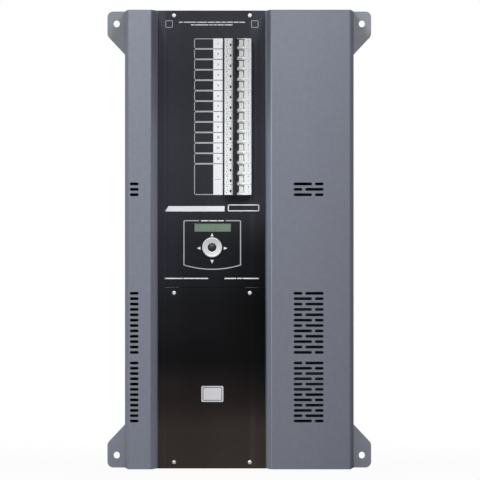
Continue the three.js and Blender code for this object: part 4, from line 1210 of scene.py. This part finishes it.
def breaker_module(z, bottom, top):
    """One breaker module: a shouldered body with a nose, a flared pocket and small openings."""
    sizes = values("breakers")
    start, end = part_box("channel_breaker_1")
    face = start.y
    left, right = sizes.nose_left, sizes.nose_right
    shoulder, behind = face + sizes.nose_rise, end.y - 6 * MM
    body = block("module", (start.x, shoulder, bottom), (end.x, behind, top))
    for x in (left, right):
        cut_across(body, (x, 0, 0), (1, 0, 0))
    pick(body, "FACE", lambda part: part.normal.y < -0.9 and left < middle(part).x < right)
    bpy.ops.mesh.extrude_region_move(TRANSFORM_OT_translate={"value": (0, -sizes.nose_rise, 0)})
    floor = sizes.pivot_y + sizes.drum + 0.8 * MM
    throat = block(
        "throat",
        (sizes.pocket_left, face - 1 * MM, z + sizes.pocket_bottom),
        (sizes.pocket_right, floor, z + sizes.pocket_top),
    )
    slope = block(
        "slope",
        (sizes.pocket_left, face - 0.3 * MM, z + sizes.pocket_lip),
        (sizes.pocket_right, face + sizes.pocket_slope, z),
    )
    lowest = z - 1 * MM
    pick(slope, "VERT", lambda vert: vert.co.y > face and vert.co.z < lowest)
    move_picked(z=sizes.pocket_bottom - sizes.pocket_lip)
    pick(slope, "VERT", lambda vert: vert.co.y < face and vert.co.z < lowest and vert.co.x > 0)
    move_picked(x=1.8 * MM)
    carve(body, throat)
    carve(body, slope)

    def opening(make, x0, x1, depth, z0, z1):
        """A cutter for an opening in the face."""
        return make("opening", (x0, face - 1 * MM, z + z0), (x1, face + depth, z + z1))

    slot = opening(oblong, *mm(*INDICATOR))
    ridge = opening(block, RIDGE_LEFT, RIDGE_RIGHT, RIDGE_DEPTH, bottom - z - 1 * MM, top - z + 1 * MM)
    pin = rod("pin", (PIN_X, face, z - PIN_DROP), PIN_RADIUS, PIN_LENGTH, 12)
    carve(body, slot, ridge, pin, opening(block, *mm(*NOTCH)))
    return soften(body, sizes.edge, limit=40)


def indicator_flag(z):
    """The dark flag behind the small window of a module."""
    place = Vector((0, low("channel_breaker_1").y, z))
    return oblong("flag", place + Vector(mm(*FLAG_LOW)), place + Vector(mm(*FLAG_HIGH)))


def module_ticks(z):
    """Small plain ticks on a module's face."""
    front = low("channel_breaker_1").y
    thin = 0.05 * MM
    ticks = []
    for left, right, bottom, top in TICKS:
        start = (left * MM, front - thin, z + bottom * MM)
        ticks.append(block("tick", start, (right * MM, front + thin, z + top * MM)))
    return joined("ticks", ticks)


def copy_to_channels(kind, z, pieces):
    """Copies the first channel's pieces to all channels, and three of each to the main breaker.

    Each piece comes with its name, its name at the main breaker, its material, its slot and
    True where it stands for the solid.
    """
    swings = kind == "toggle"
    for channel in CHANNELS:
        node = f"channel_{kind}_{channel}"
        body = f"channel_lever_{channel}" if swings else CABINET
        shift = Vector((0, 0, centre(node).z - z))
        for piece, name, _, material, slot, stands in pieces:
            twin = copy_of(piece, f"{name}_{channel}", shift)
            finish_piece(twin, material, slot, *([node] if stands else []), body=body)
    node = f"main_{kind}"
    body = "main_lever" if swings else CABINET
    rise = centre(node).z - z
    pitch = values("breakers").pitch
    for piece, _, name, material, slot, stands in pieces:
        thirds = [copy_of(piece, "third", Vector((0, 0, rise + pole * pitch))) for pole in POLES]
        finish_piece(joined(name, thirds), material, slot, *([node] if stands else []), body=body)
        bpy.data.objects.remove(piece)


def breakers():
    """Twelve channel breakers, and the main breaker of three modules."""
    slot = "breaker_plastic"
    plastic = moulded("breaker_case_plastic", values("finish").case, 0.4, 0.1, light=CASE_LIGHT)
    dark = moulded("indicator_plastic", (0.012, 0.014, 0.018), 0.25, 0.02)
    grey = screen_ink("rating_ink", (0.2, 0.22, 0.25))
    start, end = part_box("channel_breaker_1")
    z = (start.z + end.z) / 2
    module = breaker_module(z, start.z, end.z)
    copy_to_channels("breaker", z, (
        (module, "breaker_case", "main_breaker_case", plastic, slot, True),
        (indicator_flag(z), "breaker_flag", "main_breaker_flag", dark, slot, False),
        (module_ticks(z), "breaker_ticks", "main_breaker_ticks", grey, slot, False),
    ))


def toggle_drum(z):
    """The light drum of a toggle, with round rims and a flat at its front."""
    sizes = values("breakers")
    tall = sizes.pocket_top - sizes.pocket_bottom - 0.3 * MM
    place = (sizes.pivot_x, sizes.pivot_y, z + (sizes.pocket_top + sizes.pocket_bottom) / 2)
    drum = rod("drum", place, sizes.drum, tall, 56, "Z")
    pick(drum, "FACE", anywhere)
    flat = (0, sizes.pivot_y - sizes.drum_flat, 0)
    bpy.ops.mesh.bisect(plane_co=flat, plane_no=(0, -1, 0), clear_outer=True, use_fill=True)
    return soften(drum, 0.4 * MM, 3, 60)


def toggle_lever(z):
    """The black lever of a toggle: a D-shaped root and a wide grip, leaning left."""
    sizes = values("breakers")
    play_below, play_above, upper_round, lower_round, grip_round, mid_grip = mm(0.2, 0.4, 2, 3, 1.2, -12)
    barrel = block(
        "barrel",
        (BARREL_LEFT, BARREL_FRONT, sizes.pocket_bottom + play_below),
        (BARREL_RIGHT, BARREL_REAR, sizes.pocket_top - play_above),
    )
    round_edges(barrel, 1, upper_round, 4, lambda place: place.x > 0 and place.z > 0)
    round_edges(barrel, 1, lower_round, 6, lambda place: place.x > 0 and place.z < 0)
    grip = block("lever", mm(*GRIP_LOW), mm(*GRIP_HIGH))
    round_edges(grip, 2, grip_round, 4, lambda place: place.y < mid_grip)
    lever = combine(grip, [barrel], "UNION")
    lever.location = (sizes.pivot_x, sizes.pivot_y, z)
    lever.rotation_euler = (0, 0, -sizes.lean)
    return soften(settle(lever), 0.35 * MM, limit=40)


def toggles():
    """The toggles, each a drum and a lever that ride together, and the tied main toggle."""
    finish = values("finish")
    light = moulded("toggle_drum_plastic", finish.drum, 0.42, 0.1, light=TOGGLE_LIGHT)
    black = moulded("toggle_lever_plastic", finish.lever, 0.38, 0.12, 0.3)
    z = centre("channel_toggle_1").z
    copy_to_channels("toggle", z, (
        (toggle_drum(z), "toggle_drum", "main_toggle_drums", light, "breaker_plastic", True),
        (toggle_lever(z), "toggle_lever", "main_toggle_levers", black, "lever_plastic", True),
    ))


# Display and pad

def display():
    """The clear window and the green face behind it."""
    start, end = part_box("display_window")
    depth, corner = mm(0.5, 0.7)
    lens = rounded_plate("display_lens", start, (end.x, start.y + depth, end.z), corner, 3)
    soften(lens, 0.12 * MM)
    finish_piece(lens, clear_plastic("clear_acrylic"), "display_lens", "display_window")
    face = rounded_plate("display_face", (start.x, start.y + 1.2 * depth, start.z), end, corner, 3)
    soften(face, 0.1 * MM)
    green = display_glow("display_green", values("finish").display, (start + end) / 2)
    finish_piece(face, green, "display_lens", "display_window")


# The ring's rounded rim from its skirt to its dish, in millimetres: radius over its outer one, depth
RING_RIM = (
    (-0.5, 7), (-0.25, 2.5), (0, 2.2), (-0.1, 1.5), (-0.45, 0.75), (-1.0, 0.22), (-1.7, 0),
    (-2.2, 0.12), (-2.9, 0.45),
)
# The ring's bore in the same way, with the radius over the bore's and the depth over the dish's
RING_BORE = ((2, -0.15), (0.5, 0), (0.1, 0.25), (0, 0.7))


def pad():
    """The dished ring and the domed button."""
    sizes, finish = values("pad"), values("finish")
    outer, bore, dish = sizes.ring, sizes.bore, sizes.dish
    start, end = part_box("nav_ring")
    hub = (start + end) / 2
    rim_dip, floor, skirt, wall = mm(0.5, 3.6, 7, 3)
    profile = [(outer + out * MM, depth * MM) for out, depth in RING_RIM]
    profile += [(outer - 4.4 * MM, rim_dip + 0.42 * (dish - rim_dip))]
    profile += [(bore + out * MM, dish + depth * MM) for out, depth in RING_BORE]
    profile += [(bore, floor), (outer - wall, floor), (outer - wall, skirt), (outer - 0.5 * MM, skirt)]
    ring = lathed("pad_ring_face", profile, (hub.x, start.y, hub.z), steps=96, smooth_to=35)
    silver = plated("satin_silver", finish.ring, 0.42, metal=0.2)
    finish_piece(ring, silver, "ring_silver", "nav_ring", body="pad_ring")

    start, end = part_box("nav_button")
    hub = (start + end) / 2
    radius, dome = sizes.button, sizes.dome
    steps = 16
    turns = [math.radians(90 * step / steps) for step in range(1, steps + 1)]
    profile = [(0, 0)] + [(radius * math.sin(turn), dome * (1 - math.cos(turn))) for turn in turns]
    deep = end.y - start.y
    stem = 0.9 * radius
    profile += [(radius, dome + 0.8 * MM), (stem, dome + 1 * MM), (stem, deep), (0, deep)]
    button = lathed("pad_button_cap", profile, (hub.x, start.y, hub.z), steps=64, smooth_to=40)
    dark = moulded("button_dark_plastic", finish.button, 0.34, 0.03, 0.5)
    finish_piece(button, dark, "button_plastic", "nav_button", body="pad_button")


# Parts inside, and the end plates

def coat_nodes(material, *names):
    """Gives CAD nodes that stay in view their material."""
    for name in names:
        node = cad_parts[name]
        for slot in node.material_slots:
            slot.material = material
        if not node.material_slots:
            node.data.materials.append(material)


def inner_parts():
    """Materials of the parts that stay as they were built."""
    finish = values("finish")
    steel = plated("zinc_plated_steel", finish.steel, 0.36, (0.2, 0.2, 1))
    aluminium = plated("black_anodised_aluminium", (0.035, 0.035, 0.038), 0.5, (1, 1, 0.03), 0.4)
    brass = plated("plain_brass", (0.5, 0.36, 0.13), 0.34, (0.2, 1, 1))
    board = moulded("circuit_board", (0.02, 0.11, 0.045), 0.35, 0.05)
    dark = moulded("dark_moulding", (0.02, 0.02, 0.022), 0.45)
    grey = moulded("terminal_moulding", (0.09, 0.092, 0.088), 0.45)
    # The windings are dark varnish, made darker still as painted shade for the unlit inside behind the
    # vents.
    winding = striped("varnished_winding", (0.03, 0.016, 0.01), 0.45, 5 * MM, 0.5, 0.1)
    laminations = striped("core_laminations", (0.05, 0.05, 0.055), 0.6, 3 * MM, 0.5)
    housing = powder_coat("housing_powder_coat", finish.housing)
    coat_nodes(housing, "top_end_plate", "bottom_end_plate")
    coat_nodes(steel, "left_partition", "right_partition", "din_rail")
    coat_nodes(dark, "display_module", "ring_pivot_frame", "data_socket")
    coat_nodes(board, "control_board")
    coat_nodes(aluminium, "heat_sink")
    coat_nodes(grey, "load_terminal_block", "supply_terminal_block")
    coat_nodes(brass, "earth_bar")
    coat_nodes(laminations, "control_transformer")
    for number in (1, 2, 3):
        coat_nodes(dark, f"thyristor_module_{number}")
        coat_nodes(winding, f"choke_bank_{number}")


# Stage

FLOOR_GREY, FLOOR_DROP = 0.42, 0.2 * MM
# The camera sees the floor this white near the pack, and pure white further off, in metres
FLOOR_NEAR, FLOOR_FAR, FLOOR_NEAR_WHITE = 0.4, 2.4, 0.94
LAMP_TARGET = Vector((0, -70 * MM, 0))
# Place, width and height of each lamp, in metres
LAMPS = {
    "key": ((-0.6, -1.25, 1.5), 0.18, 0.6),
    "fill": ((0.55, -1.25, 1.5), 0.18, 0.6),
    "strip": ((-2.15, -1.35, 0.1), 0.3, 1.7),
    "back": ((0, 2.4, 1.1), 0.6, 0.6),
}


def white_surroundings():
    """A soft world that the camera, gloss and glass see as white."""
    world = bpy.data.worlds.new("white_surroundings")
    bpy.context.scene.world = world
    world.use_nodes = True
    tree = world.node_tree
    tree.nodes.clear()
    ray = add(tree, "LightPath").outputs
    inputs = {0: ray["Is Camera Ray"], 1: ray["Is Glossy Ray"]}
    seen = add(tree, "Math", inputs, operation="MAXIMUM").outputs["Value"]
    inputs = {0: seen, 1: ray["Is Transmission Ray"]}
    seen = add(tree, "Math", inputs, operation="MAXIMUM").outputs["Value"]
    soft = {"Color": (0.93, 0.96, 1, 1), "Strength": values("stage").ambient}
    soft = add(tree, "Background", soft).outputs["Background"]
    white = add(tree, "Background", {"Color": (1, 1, 1, 1)}).outputs["Background"]
    mix = add(tree, "MixShader", {"Fac": seen, 1: soft, 2: white}).outputs["Shader"]
    add(tree, "OutputWorld", {"Surface": mix})


def studio_floor():
    """A pale floor that the camera sees as white, a little greyer round the pack."""
    deselect_all()
    place = (0, 0, CAD_BOX[0].z - FLOOR_DROP)
    bpy.ops.mesh.primitive_plane_add(size=values("stage").floor_size, location=place)
    floor = named("studio_floor")
    material = bpy.data.materials.new("pale_floor")
    material.use_nodes = True
    tree = material.node_tree
    shader = shader_of(tree)
    connect(tree, shader, {"Base Color": (FLOOR_GREY, FLOOR_GREY, FLOOR_GREY, 1), "Roughness": 0.9})
    place = add(tree, "TexCoord").outputs["Object"]
    reach = add(tree, "VectorMath", {0: place}, operation="LENGTH").outputs["Value"]
    inputs = {"From Min": FLOOR_NEAR, "From Max": FLOOR_FAR, "To Min": FLOOR_NEAR_WHITE, "Value": reach}
    fade = add(tree, "MapRange", inputs).outputs["Result"]
    inputs = {0: add(tree, "LightPath").outputs["Is Camera Ray"], 1: fade}
    seen = add(tree, "Math", inputs, operation="MULTIPLY").outputs["Value"]
    glow = add(tree, "Emission", {"Color": (1, 1, 1, 1), "Strength": 1}).outputs["Emission"]
    mix = add(tree, "MixShader", {"Fac": seen, 1: shader.outputs["BSDF"], 2: glow})
    connect(tree, tree.nodes["Material Output"], {"Surface": mix.outputs["Shader"]})
    floor.data.materials.append(material)


def stage():
    """Floor, white surroundings, lamps and the camera in front."""
    sizes = values("stage")
    scene = bpy.context.scene
    scene.view_settings.view_transform = "Standard"
    white_surroundings()
    studio_floor()
    for name, (place, wide, tall) in LAMPS.items():
        deselect_all()
        bpy.ops.object.light_add(type="AREA", location=place)
        lamp = bpy.context.object
        lamp.name = name + "_lamp"
        lamp.rotation_euler = (LAMP_TARGET - lamp.location).to_track_quat("-Z", "Y").to_euler()
        lamp.data.energy = getattr(sizes, name)
        lamp.data.shape = "RECTANGLE"
        lamp.data.size = wide
        lamp.data.size_y = tall
    deselect_all()
    place = (sizes.view_x, low("right_cover").y - sizes.view_distance, sizes.view_z)
    bpy.ops.object.camera_add(location=place, rotation=(QUARTER, 0, 0))
    camera = bpy.context.object
    camera.name = "front_camera"
    camera.data.sensor_width = 36
    camera.data.lens = camera.data.sensor_width * sizes.view_distance / sizes.view_height
    camera.data.clip_end = 200
    scene.camera = camera


# Operators and panel

class DIMMER_OT_stage(bpy.types.Operator):
    """Sets up the floor, the lamps and the camera"""

    bl_idname = "dimmer.stage"
    bl_label = "Stage"

    def execute(self, context):
        stage()
        return {"FINISHED"}


class DIMMER_OT_wall_plate(bpy.types.Operator):
    """Models the wall plate with its ears and fixing holes"""

    bl_idname = "dimmer.wall_plate"
    bl_label = "Wall Plate"

    def execute(self, context):
        wall_plate()
        return {"FINISHED"}


class DIMMER_OT_covers(bpy.types.Operator):
    """Models the narrow and the wide folded cover with their vent slots"""

    bl_idname = "dimmer.covers"
    bl_label = "Covers"

    def execute(self, context):
        cover(LEFT)
        cover(RIGHT)
        return {"FINISHED"}


class DIMMER_OT_panels(bpy.types.Operator):
    """Models the two black front panels"""

    bl_idname = "dimmer.panels"
    bl_label = "Front Panels"

    def execute(self, context):
        panels()
        return {"FINISHED"}


class DIMMER_OT_prints(bpy.types.Operator):
    """Prints the channel table, the blank fields and the pad's outline and arrows"""

    bl_idname = "dimmer.prints"
    bl_label = "Prints"

    def execute(self, context):
        channel_table()
        channel_numbers()
        blank_fields()
        pad_outline()
        pad_arrows()
        return {"FINISHED"}


class DIMMER_OT_screws(bpy.types.Operator):
    """Models one panel screw and copies it to its six places"""

    bl_idname = "dimmer.screws"
    bl_label = "Panel Screws"

    def execute(self, context):
        panel_screws()
        return {"FINISHED"}


class DIMMER_OT_breakers(bpy.types.Operator):
    """Models a breaker module and copies it to the channel breakers and the main breaker"""

    bl_idname = "dimmer.breakers"
    bl_label = "Breakers"

    def execute(self, context):
        breakers()
        return {"FINISHED"}


class DIMMER_OT_toggles(bpy.types.Operator):
    """Models a toggle's drum and lever and copies them to every breaker"""

    bl_idname = "dimmer.toggles"
    bl_label = "Toggles"

    def execute(self, context):
        toggles()
        return {"FINISHED"}


class DIMMER_OT_display(bpy.types.Operator):
    """Models the display's clear window and green face"""

    bl_idname = "dimmer.display"
    bl_label = "Display"

    def execute(self, context):
        display()
        return {"FINISHED"}


class DIMMER_OT_pad(bpy.types.Operator):
    """Models the dished ring and the domed button"""

    bl_idname = "dimmer.pad"
    bl_label = "Pad"

    def execute(self, context):
        pad()
        return {"FINISHED"}


class DIMMER_OT_inner_parts(bpy.types.Operator):
    """Gives the end plates and the parts inside their materials"""

    bl_idname = "dimmer.inner_parts"
    bl_label = "Inner Parts"

    def execute(self, context):
        inner_parts()
        return {"FINISHED"}


OPERATORS = (
    DIMMER_OT_stage,
    DIMMER_OT_wall_plate,
    DIMMER_OT_covers,
    DIMMER_OT_panels,
    DIMMER_OT_prints,
    DIMMER_OT_screws,
    DIMMER_OT_breakers,
    DIMMER_OT_toggles,
    DIMMER_OT_display,
    DIMMER_OT_pad,
    DIMMER_OT_inner_parts,
)


class DIMMER_PT_panel(bpy.types.Panel):
    """Lists the steps that build the dimmer pack, and its sizes and colours"""

    bl_idname = "DIMMER_PT_panel"
    bl_label = "Dimmer Pack"
    bl_space_type = "VIEW_3D"
    bl_region_type = "UI"
    bl_category = "Dimmer Pack"

    def draw(self, context):
        for operator in OPERATORS:
            self.layout.operator(operator.bl_idname)
        for name, group in GROUPS.items():
            box = self.layout.box()
            for value in group.__annotations__:
                box.prop(getattr(context.scene, name), value)


def register():
    """Registers the groups, the operators and the panel."""
    for name, group in GROUPS.items():
        bpy.utils.register_class(group)
        setattr(bpy.types.Scene, name, bpy.props.PointerProperty(type=group))
    for shown in (*OPERATORS, DIMMER_PT_panel):
        bpy.utils.register_class(shown)


def unregister():
    """Takes back what register did."""
    for shown in (DIMMER_PT_panel, *reversed(OPERATORS)):
        bpy.utils.unregister_class(shown)
    for name, group in GROUPS.items():
        delattr(bpy.types.Scene, name)
        bpy.utils.unregister_class(group)


def main():
    """Builds the whole pack."""
    register()
    bpy.ops.dimmer.stage()
    bpy.ops.dimmer.wall_plate()
    bpy.ops.dimmer.covers()
    bpy.ops.dimmer.panels()
    bpy.ops.dimmer.prints()
    bpy.ops.dimmer.screws()
    bpy.ops.dimmer.breakers()
    bpy.ops.dimmer.toggles()
    bpy.ops.dimmer.display()
    bpy.ops.dimmer.pad()
    bpy.ops.dimmer.inner_parts()


if __name__ == "__main__":
    main()
